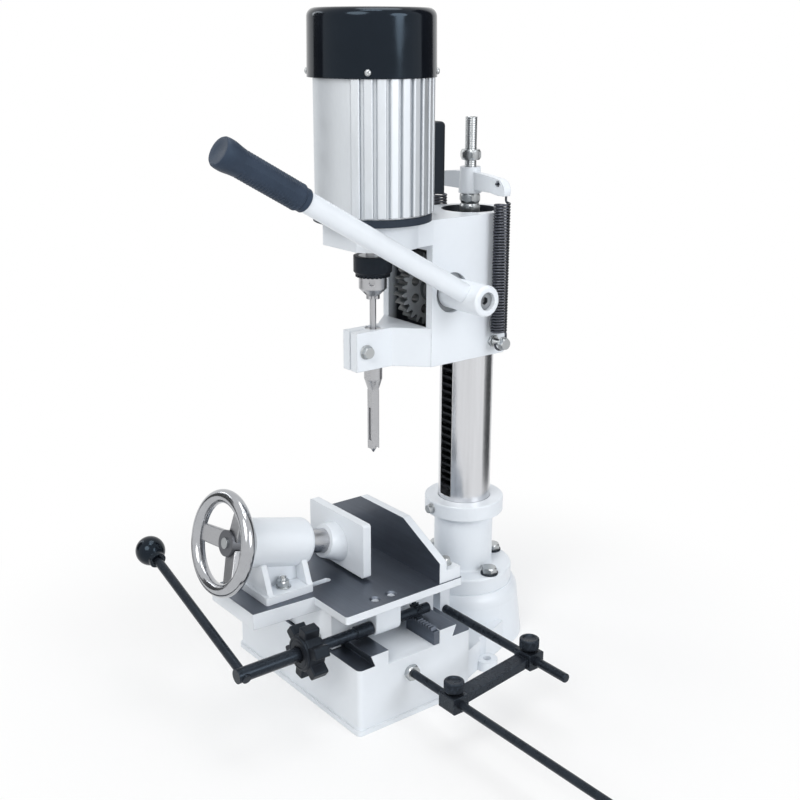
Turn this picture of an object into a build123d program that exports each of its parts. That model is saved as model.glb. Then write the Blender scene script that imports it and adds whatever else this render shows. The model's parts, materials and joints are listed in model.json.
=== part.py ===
from build123d import *
import os
from math import acos, ceil, cos, pi, radians, sin, sqrt, tan

# Benchtop mortiser, in millimetres. +X is the machine's right, -Y the operator, +Z up.
# The column's axis is the Z axis, and the base stands on Z = 0.

os.makedirs("parts", exist_ok=True)

# ---------------------------------------------------------------- clearances
running_fit = 0.05          # radial, shaft in bore
free_gap = 0.4              # between curved faces of different bodies
bolt_gap = 0.3              # radial, shank in its hole
slide_gap = 0.1             # dovetail flanks

# ---------------------------------------------------------------- base
box_half = 127.0            # half the box's length along X
box_front = -257.0
box_rear = -96.0
box_top = 79.5
box_wall = 10.0
box_corner = 6.0
plinth_proud = 2.0
plinth_height = 6.0
way_top = 93.0
way_mid = -179.8            # Y of the dovetail's middle
way_half_top = 60.8
way_half_foot = 55.2
trough_half = 36.6
trough_floor = 76.0
web_half_front = 113.0
web_half_rear = 78.0
web_height = 38.0
pedestal_foot_r = 77.0
pedestal_waist_r = 70.5
pedestal_waist_z = 55.0
pedestal_top_r = 64.0
pedestal_top = 72.5
lug_x = 101.0
lug_y = -46.0
lug_r = 13.0
lug_height = 12.0
bench_hole_r = 5.0

# ---------------------------------------------------------------- column
column_r = 32.5
column_top = 522.0
foot_flange_r = 61.8
foot_flange_t = 20.5
foot_neck_r = 36.9
foot_neck_top = 165.6
foot_bolt_circle_r = 51.0
foot_bolt_r = 5.0
foot_bolt_head = 17.0       # across flats
foot_bolt_head_t = 7.0
washer_t = 2.0
washer_r = 11.0
slot_half = 10.0            # slot in the column's front for the rack
slot_back = -13.0
slot_foot = 190.0
collar_r = 49.3
collar_t = 19.0
collar_screw_r = 3.0
collar_screw_angle = -95.0   # from +X
collar_washer_r = 6.5
collar_washer_t = 1.2
stud_r = 7.0
stud_top = 648.6
nut_across = 22.0
nut_t = 11.5
upper_nut_z = 600.5
hub_low = 562.5
hub_high = 592.5
hub_top_r = 12.0
hub_foot_r = 13.5
arm_reach = 63.0
arm_half_t = 5.0
spring_x = 56.0

# ---------------------------------------------------------------- rack and gear drive
gear_module = 3.0
gear_teeth = 27
gear_y = -63.0
gear_half_t = 8.0
gear_hub_r = 13.0
gear_hub_half = 14.0
gear_hole_r = 5.5
gear_hole_circle_r = 26.0
backlash = 0.5
pressure = radians(20)
lever_shaft_r = 10.0
gear_pitch_r = gear_module * gear_teeth / 2
rack_pitch_y = gear_y + gear_pitch_r

# ---------------------------------------------------------------- head
head_low = 376.0
head_height = 168.0
gear_rise = 83.0            # gear's axis above the head's foot
sleeve_r = 43.0
plate_out = 45.0            # outer face of the side plates
plate_t = 10.0
plate_front = -93.0
arm_half = 13.0
arm_front = -174.0
arm_height = 45.0
flare_front = -125.0
window_below = 47.0         # edges of the window, from the axis of the gear
window_above = 50.0
spindle_y = -142.0          # axis of motor, chuck and chisel
seat_r = 55.0
seat_t = 28.0
seat_front = -187.0
lug_rear = 21.0
lug_t = 28.0
spring_bolt_rise = 17.0
spring_bolt_r = 4.0
clamp_bolt_y = -161.0
clamp_bolt_rise = 22.0
clamp_bolt_r = 4.0
recess_r = 23.0
recess_depth = 6.0
head_top = head_low + head_height
gear_z = head_low + gear_rise
arm_top = head_low + arm_height
window_low = gear_z - window_below
window_high = gear_z + window_above
seat_low = head_top - seat_t
lug_top = head_low + lug_t
spring_bolt_z = head_low + spring_bolt_rise
clamp_bolt_z = head_low + clamp_bolt_rise

# ---------------------------------------------------------------- motor
gasket_t = 8.0
gasket_r = 65.5
motor_low = head_top + gasket_t
motor_height = 144.0
motor_r = 67.7
motor_root_r = 63.3
motor_bore_r = 58.0
fin_step = 12.0             # degrees between fins
fin_width = 10.2
fin_first = -52.0           # degrees from +X, the fin beside the plain panel
fin_count = 23
panel_angle = -95.0         # middle of the plain panel
panel_half = 32.0           # half its angle, in degrees
cap_r = 69.6
cap_height = 70.0
cap_wall = 3.0
cap_round = 9.0
motor_shaft_r = 8.0
bearing_r = 20.0
bearing_t = 12.0
motor_high = motor_low + motor_height
cap_top = motor_high + cap_height

# ---------------------------------------------------------------- chuck, auger and chisel
chuck_top = 504.0
sleeve_chuck_r = 21.7
sleeve_chuck_low = 484.5
chuck_ring_low = 480.5
chuck_body_r = 15.8
chuck_body_low = 467.0
chuck_nose_low = 458.8
chuck_nose_r = 7.5
auger_r = 3.7
chisel_shank_r = 9.5
chisel_bush_r = 10.6
chisel_bush_low = 361.5
chisel_square_top = 348.0
chisel_side = 9.6
chisel_low = 274.5

# ---------------------------------------------------------------- lever
lever_x = 78.0
lever_angle = 29.75         # above the horizontal, towards the operator
boss_in = 41.0
boss_out = 105.0
boss_r = 17.6
lever_rod_r = 11.2
lever_rod_root_r = 11.2
grip_start = 252.0
grip_end = 360.0
grip_collar_r = 12.6
grip_r = 14.3
grip_flare_r = 16.0

# ---------------------------------------------------------------- table
table_top = 140.4
table_t = 9.4
table_half = 112.0
table_front = -262.0
table_rear = -98.0
tongue_front = -338.0
tongue_half_front = 45.0
tongue_half_rear = 50.0
tongue_t = 18.4
saddle_left = -100.0
saddle_right = 70.0
saddle_front = -253.0
saddle_rear = -106.5
saddle_low = 80.5
gib_t = 4.0
stop_hole_in = 17.0
stop_hole_r = 4.2
stop_sink_r = 6.6
stop_hole_depth = 7.0
t_slot_x = 23.0
t_slot_half = 4.6
t_slot_front = -312.0
t_slot_rear = -222.0
fence_front = -130.7
fence_t = 10.2
fence_top = 199.2
fence_half_top = 42.3
fence_half = 110.2
fence_shoulder = 165.5
fence_foot_t = 14.0
fence_washer_t = 1.5
fence_foot_rear = -100.0
fence_bolt_x = 95.0
fence_bolt_y = -110.0

# ---------------------------------------------------------------- table feed
feed_x = 89.0
feed_z = 103.0
feed_module = 1.5
feed_teeth = 12
feed_front = -386.0
feed_rear = -130.0
feed_front_r = 8.0
feed_r = 6.0
feed_pinion_front = -151.0
feed_pinion_rear = -144.0
feed_block_front = -212.0
feed_block_rear = -177.0
feed_block_half = 9.6
crank_y = -378.0
crank_reach = 214.0
crank_angle = 162.0         # from +X towards +Z
crank_r = 5.2
ball_r = 17.0
knob_front = -307.0
feed_sleeve_end = knob_front - 1
knob_t = 18.0
knob_r = 31.0
knob_core_r = 21.0
knob_lobes = 6
feed_pitch_r = feed_module * feed_teeth / 2
feed_rack_z = feed_z - feed_pitch_r

# ---------------------------------------------------------------- vise
vise_tilt = 14.0            # the screw falls towards the fence
jaw_y = -196.8              # face of the jaw plate that the screw meets
jaw_z = 173.5               # height of the screw's axis there
jaw_half = 53.6
jaw_low = 144.0
jaw_high = 209.0
jaw_t = 10.8
jaw_boss_r = 24.0
jaw_boss_front_r = 19.5
jaw_boss_length = 20.0
quill_r = 14.0
quill_start = -100.0        # along the screw's axis, from the jaw
quill_room = 22.0           # travel left behind the quill
barrel_start = -128.0
barrel_end = -47.4
barrel_r = 27.5
vise_foot_half = 38.0
vise_foot_front = -316.0
vise_foot_rear = -254.0
vise_foot_t = 9.0
vise_web_half = 13.0
vise_bolt_y = -285.0
vise_bolt_r = 4.0
screw_r = 6.0
screw_end = -63.0
wheel_mid = -154.5
wheel_ring_r = 51.2
wheel_tube_r = 7.7
wheel_hub_r = 14.5
wheel_hub_start = -150.5
wheel_hub_end = -132.5
wheel_spokes = 3
wheel_turn = 58.0           # one spoke, from +X
spoke_width = 21.0

# ---------------------------------------------------------------- stop rods and bar
rod_r = 4.6
long_rod_y = -185.8
long_rod_z = 55.8
long_rod_start = 112.0
long_rod_end = 440.0
rod_nut_across = 17.0
rod_nut_t = 7.0
short_rod_y = -75.5
short_rod_r = 5.2
short_rod_z = 69.6
short_rod_start = 34.0
short_rod_end = 261.0
stop_bar_x = 202.0
stop_block_half = 12.5      # along X
stop_block_y_half = 10.5
stop_block_z_half = 9.5
stop_web_half = 9.0
stop_web_t = 10.0
thumb_r = 11.2
thumb_t = 12.0
thumb_stem_r = 3.0
thumb_neck = 2.5

# ---------------------------------------------------------------- springs
spring_mean_r = 8.4
wire_r = 1.4
spring_turns = 45
spring_pitch = 3.35
spring_coil_low = 405.0
hook_bend_r = 3.2
hook_drop = 15.0            # eye of the hook, below the top of the crossbar
hook_play = 1.8             # radial, wire in its eye


def level(z):
    """Horizontal sketch plane at height z."""
    return Plane.XY.offset(z)


def side(x):
    """Upright sketch plane at x, local axes Y and Z."""
    return Plane.YZ.offset(x)


def front(y):
    """Upright sketch plane at y, local axes X and Z; it extrudes towards -Y."""
    return Plane.XZ.offset(-y)


def write(piece, name):
    """Label a finished piece and write its file."""
    piece.part.label = name
    export_step(piece.part, f"parts/{name}.step")


def on_axis(distance):
    """Sketch plane square to the vise screw, at a distance from the jaw plate."""
    tilt = radians(vise_tilt)
    origin = (0, jaw_y + distance * cos(tilt), jaw_z - distance * sin(tilt))
    return Plane(origin=origin, x_dir=(1, 0, 0), z_dir=(0, cos(tilt), -sin(tilt)))


def tooth_half_angle(module, teeth, radius):
    """Half the angle that an involute tooth fills at a radius."""
    pitch_r = module * teeth / 2
    base_r = pitch_r * cos(pressure)
    at_pitch = (pi * module / 2 - backlash) / (2 * pitch_r)
    slope = acos(min(1.0, base_r / max(radius, base_r)))
    return at_pitch + (tan(pressure) - pressure) - (tan(slope) - slope)


def polar(radius, angle):
    """Point of a sketch at a radius and an angle in radians."""
    return (radius * cos(angle), radius * sin(angle))


def gear_outline(module, teeth):
    """Toothed disc with one tooth on the local x axis."""
    pitch_r = module * teeth / 2
    base_r = max(pitch_r * cos(pressure), pitch_r - 1.25 * module + 0.05)
    tip_r = pitch_r + module
    root_r = pitch_r - 1.25 * module
    base = tooth_half_angle(module, teeth, base_r)
    flank = tooth_half_angle(module, teeth, pitch_r)
    tip = tooth_half_angle(module, teeth, tip_r)
    inner_r = root_r - module / 2
    with BuildSketch() as tooth:
        with BuildLine():
            Line(polar(inner_r, -base), polar(base_r, -base))
            ThreePointArc(polar(base_r, -base), polar(pitch_r, -flank), polar(tip_r, -tip))
            ThreePointArc(polar(tip_r, -tip), (tip_r, 0), polar(tip_r, tip))
            ThreePointArc(polar(tip_r, tip), polar(pitch_r, flank), polar(base_r, base))
            Line(polar(base_r, base), polar(inner_r, base))
            Line(polar(inner_r, base), polar(inner_r, -base))
        make_face()
    with BuildSketch() as disc:
        Circle(root_r)
        with PolarLocations(0, teeth):
            add(tooth.sketch)
    return disc.sketch


def rack_tooth(module):
    """Straight tooth that points along local +y, with its pitch line on y = 0."""
    half = (pi * module / 2 - backlash) / 2
    tip = half - module * tan(pressure)
    root = half + 1.25 * module * tan(pressure)
    with BuildSketch() as tooth:
        Polygon((-root, -1.25 * module), (root, -1.25 * module), (tip, module), (-tip, module), align=None)
    return tooth.sketch


def hex_solids(places, across, thickness):
    """Hexagon prisms in the current part, one on each plane."""
    for place in places:
        with BuildSketch(place) as hexagon:
            RegularPolygon(across / 2, 6, major_radius=False)
        extrude(hexagon.sketch, amount=thickness)


def rods(places, radius, length, mode=Mode.ADD):
    """Round bars in the current part, one on each plane."""
    for place in places:
        with BuildSketch(place) as disc:
            Circle(radius)
        extrude(disc.sketch, amount=length, mode=mode)


# ================================================================ base
box_mid = (box_front + box_rear) / 2
box_depth = box_rear - box_front
foot_bolt_places = [(foot_bolt_circle_r, 0), (0, foot_bolt_circle_r), (-foot_bolt_circle_r, 0), (0, -foot_bolt_circle_r)]
foot_top = pedestal_top + foot_flange_t

with BuildPart() as base_casting:
    with BuildSketch(level(0)):
        with Locations((0, box_mid)):
            RectangleRounded(2 * box_half, box_depth, box_corner)
    extrude(amount=box_top)
    with BuildSketch(level(0)):
        with Locations((0, box_mid)):
            RectangleRounded(2 * (box_half + plinth_proud), box_depth + 2 * plinth_proud, box_corner)
    extrude(amount=plinth_height)
    with BuildSketch(level(0)):
        Polygon(
            (web_half_front, box_rear - 1),
            (web_half_rear, 0),
            (-web_half_rear, 0),
            (-web_half_front, box_rear - 1),
            align=None,
        )
    extrude(amount=web_height)
    with BuildSketch(Plane.XZ):
        with BuildLine():
            Polyline((0, 0), (pedestal_foot_r, 0), (pedestal_waist_r, pedestal_waist_z))
            ThreePointArc(
                (pedestal_waist_r, pedestal_waist_z),
                (pedestal_waist_r - 1.5, (pedestal_waist_z + pedestal_top) / 2 + 1),
                (pedestal_top_r, pedestal_top),
            )
            Polyline((pedestal_top_r, pedestal_top), (0, pedestal_top), (0, 0))
        make_face()
    revolve(axis=Axis.Z)
    with BuildSketch(level(0)):
        with Locations((lug_x, lug_y), (-lug_x, lug_y)):
            Circle(lug_r)
    extrude(amount=lug_height)
    with BuildSketch(side(-box_half)):
        Polygon(
            (way_mid - way_half_foot, box_top - 1),
            (way_mid - way_half_foot, box_top),
            (way_mid - way_half_top, way_top),
            (way_mid + way_half_top, way_top),
            (way_mid + way_half_foot, box_top),
            (way_mid + way_half_foot, box_top - 1),
            align=None,
        )
    extrude(amount=2 * box_half)
    with BuildSketch(level(trough_floor)):
        with Locations((0, way_mid)):
            Rectangle(2 * box_half + 2, 2 * trough_half)
    extrude(amount=way_top - trough_floor + 1, mode=Mode.SUBTRACT)
    with BuildSketch(level(0)):
        with Locations((0, box_mid)):
            Rectangle(2 * (box_half - box_wall), box_depth - 2 * box_wall)
    extrude(amount=trough_floor - box_wall, mode=Mode.SUBTRACT)
    with BuildSketch(level(0)):
        with Locations((lug_x, lug_y), (-lug_x, lug_y)):
            Circle(bench_hole_r)
    extrude(amount=web_height + 1, mode=Mode.SUBTRACT)
    with BuildSketch(level(lug_height)):
        with Locations((lug_x, lug_y), (-lug_x, lug_y)):
            Circle(2 * bench_hole_r)
    extrude(amount=web_height, mode=Mode.SUBTRACT)
    with BuildSketch(level(pedestal_top)):
        with Locations(*foot_bolt_places):
            Circle(foot_bolt_r + running_fit)
    extrude(amount=-30, mode=Mode.SUBTRACT)
    rods([Plane(origin=(box_half + 1, long_rod_y, long_rod_z), z_dir=(-1, 0, 0))], rod_r, box_wall + 2, Mode.SUBTRACT)
write(base_casting, "base_casting")

with BuildPart() as column_foot:
    with BuildSketch(level(pedestal_top)):
        Circle(foot_flange_r)
    extrude(amount=foot_flange_t)
    fillet(column_foot.edges().group_by(Axis.Z)[-1], 2.5)
    with BuildSketch(level(foot_top)):
        Circle(foot_neck_r)
    extrude(amount=foot_neck_top - foot_top)
    fillet(column_foot.edges().filter_by(GeomType.CIRCLE).filter_by(lambda e: abs(e.radius - foot_neck_r) < 0.01)
           .sort_by(Axis.Z)[0], 3.0)
    with BuildSketch(level(pedestal_top)):
        Circle(column_r + running_fit)
    extrude(amount=foot_neck_top, mode=Mode.SUBTRACT)
    with BuildSketch(level(pedestal_top)):
        with Locations(*foot_bolt_places):
            Circle(foot_bolt_r + bolt_gap)
    extrude(amount=foot_flange_t + 1, mode=Mode.SUBTRACT)
write(column_foot, "column_foot")

with BuildPart() as foot_washers:
    with BuildSketch(level(foot_top)):
        with Locations(*foot_bolt_places):
            Circle(washer_r)
            Circle(foot_bolt_r + bolt_gap, mode=Mode.SUBTRACT)
    extrude(amount=washer_t)
write(foot_washers, "foot_washers")

with BuildPart() as foot_bolts:
    with BuildSketch(level(foot_top + washer_t)):
        with Locations(*foot_bolt_places):
            RegularPolygon(foot_bolt_head / 2, 6, major_radius=False)
    extrude(amount=foot_bolt_head_t)
    with BuildSketch(level(foot_top + washer_t)):
        with Locations(*foot_bolt_places):
            Circle(foot_bolt_r)
    extrude(amount=-(foot_flange_t + washer_t + 25))
write(foot_bolts, "foot_bolts")

with BuildPart() as column:
    with BuildSketch(level(pedestal_top)):
        Circle(column_r)
    extrude(amount=column_top - pedestal_top)
    chamfer(column.edges().group_by(Axis.Z)[-1], 2)
    with BuildSketch(level(slot_foot)):
        with Locations((0, -column_r)):
            Rectangle(2 * slot_half, 2 * (column_r + slot_back))
    extrude(amount=column_top, mode=Mode.SUBTRACT)
    with BuildSketch(level(column_top)):
        Circle(stud_r)
    extrude(amount=-30, mode=Mode.SUBTRACT)
write(column, "column")

rack_low = slot_foot + 2
rack_step = pi * gear_module
rack_first = ceil((rack_low + rack_step / 2 - gear_z) / rack_step - 0.5) + 0.5
rack_count = int((column_top - 6 - gear_z) / rack_step - rack_first) + 1
rack_tooth_z = [gear_z + (rack_first + i) * rack_step for i in range(rack_count)]

with BuildPart() as column_rack:
    with BuildSketch(side(-(slot_half - bolt_gap))):
        rack_back_y = (slot_back + rack_pitch_y + 1.25 * gear_module) / 2
        rack_body_t = slot_back - rack_pitch_y - 1.25 * gear_module
        with Locations((rack_back_y, (rack_low + column_top - 2) / 2)):
            Rectangle(rack_body_t, column_top - 2 - rack_low)
        for z in rack_tooth_z:
            with Locations(Location((rack_pitch_y, z), 90)):
                add(rack_tooth(gear_module))
    extrude(amount=2 * (slot_half - bolt_gap))
write(column_rack, "column_rack")

with BuildPart() as stop_collar:
    with BuildSketch(level(foot_neck_top)):
        Circle(collar_r)
        Circle(column_r + free_gap, mode=Mode.SUBTRACT)
    extrude(amount=collar_t)
    fillet(stop_collar.edges().filter_by(GeomType.CIRCLE).filter_by(lambda e: e.radius > collar_r - 1), 1.5)
    screw_turn = radians(collar_screw_angle)
    screw_in = (-cos(screw_turn), -sin(screw_turn), 0)
    screw_seat = (-screw_in[0] * (collar_r - 0.6), -screw_in[1] * (collar_r - 0.6), foot_neck_top + collar_t / 2)
    screw_plane = Plane(origin=screw_seat, z_dir=screw_in)
    rods([screw_plane.offset(-3)], collar_washer_r + 0.4, 3, Mode.SUBTRACT)
    rods([screw_plane], collar_screw_r + bolt_gap, collar_r - column_r, Mode.SUBTRACT)
write(stop_collar, "stop_collar")

with BuildPart() as collar_screw:
    rods([screw_plane], collar_screw_r, collar_r - column_r - 1.5)
    rods([screw_plane.offset(-collar_washer_t)], collar_washer_r, collar_washer_t)
    hex_solids([screw_plane.offset(-collar_washer_t - 6)], 10, 6)
write(collar_screw, "collar_screw")

with BuildPart() as top_stud:
    with BuildSketch(level(column_top - 28)):
        Circle(stud_r)
    extrude(amount=stud_top - column_top + 28)
    chamfer(top_stud.edges().group_by(Axis.Z)[-1], 1.2)
write(top_stud, "top_stud")

with BuildPart() as stud_nuts:
    hex_solids([level(upper_nut_z), level(hub_low - nut_t), level(hub_low - 2 * nut_t - 0.8)], nut_across, nut_t)
    with BuildSketch(level(column_top)):
        Circle(stud_r)
    extrude(amount=stud_top, mode=Mode.SUBTRACT)
write(stud_nuts, "stud_nuts")

with BuildPart() as spring_crossbar:
    with BuildSketch(level(hub_low)):
        Circle(hub_foot_r)
    with BuildSketch(level(hub_high)):
        Circle(hub_top_r)
    loft()
    with BuildSketch(front(arm_half_t)):
        for way in (1, -1):
            with BuildLine():
                Polyline(
                    (0, hub_low + 4),
                    (0, hub_high - 5),
                    (way * arm_reach / 2, hub_high - 7),
                    (way * (arm_reach - 9), hub_high - 10),
                )
                ThreePointArc(
                    (way * (arm_reach - 9), hub_high - 10),
                    (way * (arm_reach - 1.5), hub_high - 15),
                    (way * arm_reach, hub_high - 28),
                )
                Polyline(
                    (way * arm_reach, hub_high - 28),
                    (way * (arm_reach - 11), hub_high - 28),
                    (way * (arm_reach - 23), hub_low + 4),
                    (0, hub_low + 4),
                )
            make_face()
    extrude(amount=2 * arm_half_t)
    for way in (1, -1):
        with BuildSketch(front(arm_half_t)):
            with Locations((way * (spring_x - hook_bend_r), hub_high - hook_drop)):
                Circle(wire_r + hook_play)
        extrude(amount=2 * arm_half_t, mode=Mode.SUBTRACT)
    with BuildSketch(level(hub_low)):
        Circle(stud_r + bolt_gap)
    extrude(amount=hub_high - hub_low, mode=Mode.SUBTRACT)
write(spring_crossbar, "spring_crossbar")

with BuildPart() as long_stop_rod:
    rods([Plane(origin=(long_rod_start, long_rod_y, long_rod_z), z_dir=(1, 0, 0))], rod_r, long_rod_end - long_rod_start)
    chamfer(long_stop_rod.edges().group_by(Axis.X)[-1], 1)
write(long_stop_rod, "long_stop_rod")

with BuildPart() as rod_nut:
    nut_place = Plane(origin=(box_half, long_rod_y, long_rod_z), z_dir=(1, 0, 0))
    hex_solids([nut_place], rod_nut_across, rod_nut_t)
    rods([nut_place], rod_r, rod_nut_t, Mode.SUBTRACT)
write(rod_nut, "rod_nut")

feed_step = pi * feed_module
feed_root_z = feed_rack_z - 1.25 * feed_module
feed_rack_rear = way_mid + trough_half
feed_rack_right = box_half - 1
feed_rack_left = feed_x - 14
feed_low = ceil((feed_rack_left - feed_x) / feed_step)
feed_high = int((feed_rack_right - feed_x) / feed_step - 0.5)
feed_tooth_x = [feed_x + (i + 0.5) * feed_step for i in range(feed_low, feed_high)]

with BuildPart() as feed_rack:
    with BuildSketch(front(feed_rack_rear)):
        with Locations(((feed_rack_left + feed_rack_right) / 2, (trough_floor + feed_root_z) / 2)):
            Rectangle(feed_rack_right - feed_rack_left, feed_root_z - trough_floor)
        for x in feed_tooth_x:
            with Locations((x, feed_rack_z)):
                add(rack_tooth(feed_module))
    extrude(amount=feed_rack_rear - feed_pinion_front)
write(feed_rack, "feed_rack")

# ================================================================ head
seat_mid_y = (seat_front + spindle_y) / 2

with BuildPart() as head_casting:
    with BuildSketch(level(head_low)):
        Circle(sleeve_r)
        with Locations((0, plate_front / 2)):
            Rectangle(2 * plate_out, -plate_front)
        Polygon(
            (arm_half, arm_front),
            (arm_half, flare_front),
            (plate_out, plate_front + 1),
            (-plate_out, plate_front + 1),
            (-arm_half, flare_front),
            (-arm_half, arm_front),
            align=None,
        )
    extrude(amount=arm_top - head_low)
    with BuildSketch(level(arm_top)):
        Circle(sleeve_r)
        with Locations((0, plate_front / 2)):
            Rectangle(2 * plate_out, -plate_front)
    extrude(amount=head_top - arm_top)
    with BuildSketch(level(seat_low)):
        with Locations((0, spindle_y)):
            Circle(seat_r)
        Polygon((plate_out, plate_front + 1), (-plate_out, plate_front + 1), (-52, spindle_y), (52, spindle_y), align=None)
    extrude(amount=head_top - seat_low)
    with BuildSketch(level(seat_low - 1)):
        with Locations((0, seat_front - 20)):
            Rectangle(2 * seat_r, 40)
    extrude(amount=head_top, mode=Mode.SUBTRACT)
    for way in (1, -1):
        with BuildSketch(side(way * (plate_out - plate_t))):
            with Locations((lug_rear / 2 - 10, (head_low + lug_top) / 2)):
                RectangleRounded(lug_rear + 20, lug_top - head_low, 6)
        extrude(amount=way * plate_t)
    with BuildSketch(level(window_low)):
        with Locations((0, (plate_front - 40) / 2 + 10)):
            Rectangle(2 * (plate_out - plate_t), -plate_front - 20)
    extrude(amount=window_high - window_low, mode=Mode.SUBTRACT)
    for way in (1, -1):
        boss_place = Plane(origin=(way * 22, gear_y, gear_z), z_dir=(way, 0, 0))
        rods([boss_place], 18, plate_out - plate_t - 22 + 1)
    recess_place = Plane(origin=(plate_out, gear_y, gear_z), z_dir=(-1, 0, 0))
    rods([recess_place], recess_r, recess_depth, Mode.SUBTRACT)
    rods([recess_place], lever_shaft_r + running_fit, 2 * plate_out, Mode.SUBTRACT)
    with BuildSketch(level(head_low)):
        Circle(column_r + running_fit)
    extrude(amount=head_top, mode=Mode.SUBTRACT)
    with BuildSketch(level(window_low)):
        with Locations((0, -35)):
            Rectangle(2 * (gear_half_t + 3), 40)
    extrude(amount=window_high - window_low, mode=Mode.SUBTRACT)
    with BuildSketch(level(head_low)):
        with Locations((0, spindle_y)):
            Circle(chisel_shank_r)
    extrude(amount=arm_top, mode=Mode.SUBTRACT)
    with BuildSketch(level(head_low)):
        with Locations((0, (arm_front + spindle_y) / 2)):
            Rectangle(2.4, spindle_y - arm_front)
    extrude(amount=arm_top - head_low, mode=Mode.SUBTRACT)
    with BuildSketch(level(seat_low)):
        with Locations((0, spindle_y)):
            Circle(24)
    extrude(amount=head_top, mode=Mode.SUBTRACT)
    clamp_place = Plane(origin=(arm_half, clamp_bolt_y, clamp_bolt_z), z_dir=(-1, 0, 0))
    rods([clamp_place], clamp_bolt_r + bolt_gap, 2 * arm_half, Mode.SUBTRACT)
    for way in (1, -1):
        spring_bolt_place = Plane(origin=(way * plate_out, 0, spring_bolt_z), z_dir=(-way, 0, 0))
        rods([spring_bolt_place], spring_bolt_r, 10, Mode.SUBTRACT)
write(head_casting, "head_casting")

with BuildPart() as clamp_bolt:
    clamp_head = Plane(origin=(arm_half, clamp_bolt_y, clamp_bolt_z), z_dir=(1, 0, 0))
    clamp_far = Plane(origin=(-arm_half, clamp_bolt_y, clamp_bolt_z), z_dir=(-1, 0, 0))
    rods([clamp_head], 8.4, 1.4)
    hex_solids([clamp_head.offset(1.4)], 13, 5.5)
    hex_solids([clamp_far], 13, 6.5)
    rods([clamp_far.offset(8)], clamp_bolt_r, -(2 * arm_half + 10))
write(clamp_bolt, "clamp_bolt")

with BuildPart() as spring_bolts:
    for way in (1, -1):
        foot_place = Plane(origin=(way * (plate_out - 9.5), 0, spring_bolt_z), z_dir=(way, 0, 0))
        rods([foot_place], spring_bolt_r, 32)
        hex_solids([foot_place.offset(28.5)], 13, 5.5)
        rods([foot_place.offset(27)], 8, 1.5)
        hex_solids([foot_place.offset(9.5)], 13, 4)
write(spring_bolts, "spring_bolts")

with BuildPart() as motor_gasket:
    with BuildSketch(level(head_top)):
        with Locations((0, spindle_y)):
            Circle(gasket_r)
            Circle(28, mode=Mode.SUBTRACT)
    extrude(amount=gasket_t)
write(motor_gasket, "motor_gasket")

with BuildPart() as motor_body:
    with BuildSketch(level(motor_low)):
        with Locations((0, spindle_y)):
            Circle(motor_root_r)
    extrude(amount=motor_high - motor_low)
    with BuildSketch(level(motor_low + 2)):
        with Locations((0, spindle_y)):
            fin_reach = (motor_root_r + motor_r) / 2 - 1
            with PolarLocations(fin_reach, fin_count, start_angle=fin_first, angular_range=fin_step * fin_count):
                RectangleRounded(motor_r - motor_root_r + 2, fin_width, 2.0)
    extrude(amount=motor_high - motor_low - 2)
    with BuildSketch(level(motor_low)):
        with Locations((0, spindle_y)):
            Circle(motor_r - 0.6)
            with PolarLocations(0, 1, start_angle=panel_angle + 180):
                with Locations((motor_r * cos(radians(panel_half)), 0)):
                    Rectangle(2 * motor_r, 4 * motor_r, align=(Align.MIN, Align.CENTER), mode=Mode.INTERSECT)
    extrude(amount=motor_high - motor_low)
    with BuildSketch(level(motor_low)):
        with Locations((0, spindle_y)):
            Circle(motor_bore_r)
    extrude(amount=motor_high - motor_low, mode=Mode.SUBTRACT)
write(motor_body, "motor_body")

bearing_low_z = motor_low + 4
bearing_high_z = motor_high + 2

with BuildPart() as motor_shields:
    for low, bearing_z in ((motor_low, bearing_low_z), (motor_high - 8, bearing_high_z)):
        with BuildSketch(level(low)):
            with Locations((0, spindle_y)):
                Circle(motor_bore_r - running_fit)
        extrude(amount=8)
        with BuildSketch(level(low)):
            with Locations((0, spindle_y)):
                Circle(bearing_r + 6)
        extrude(amount=bearing_z + bearing_t - low)
    with BuildSketch(level(motor_low)):
        with Locations((0, spindle_y)):
            Circle(motor_shaft_r + 2)
    extrude(amount=cap_top - motor_low, mode=Mode.SUBTRACT)
    for bearing_z in (bearing_low_z, bearing_high_z):
        with BuildSketch(level(bearing_z)):
            with Locations((0, spindle_y)):
                Circle(bearing_r)
        extrude(amount=bearing_t, mode=Mode.SUBTRACT)
write(motor_shields, "motor_shields")

with BuildPart() as motor_bearings:
    for bearing_z in (bearing_low_z, bearing_high_z):
        with BuildSketch(level(bearing_z)):
            with Locations((0, spindle_y)):
                Circle(bearing_r)
                Circle(motor_shaft_r + running_fit, mode=Mode.SUBTRACT)
        extrude(amount=bearing_t)
write(motor_bearings, "motor_bearings")

stator_low = motor_low + 25
stator_high = motor_high - 20

with BuildPart() as stator:
    with BuildSketch(level(stator_low)):
        with Locations((0, spindle_y)):
            Circle(motor_bore_r - running_fit)
            Circle(34.5, mode=Mode.SUBTRACT)
    extrude(amount=stator_high - stator_low)
write(stator, "stator")

with BuildPart() as motor_cap:
    with BuildSketch(level(motor_high)):
        with Locations((0, spindle_y)):
            Circle(cap_r)
    extrude(amount=cap_top - motor_high, taper=0.8)
    fillet(motor_cap.edges().group_by(Axis.Z)[-1], cap_round)
    offset(amount=-cap_wall, openings=motor_cap.faces().sort_by(Axis.Z)[0])
write(motor_cap, "motor_cap")

cap_screw_planes = []
for turn in (-40, 50, 140, 230):
    out = (cos(radians(turn)), sin(radians(turn)), 0)
    origin = (out[0] * (cap_r + running_fit), spindle_y + out[1] * (cap_r + running_fit), motor_high + 6)
    cap_screw_planes.append(Plane(origin=origin, z_dir=out))

with BuildPart() as cap_screws:
    rods(cap_screw_planes, 3.6, 2.6)
write(cap_screws, "cap_screws")

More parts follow.
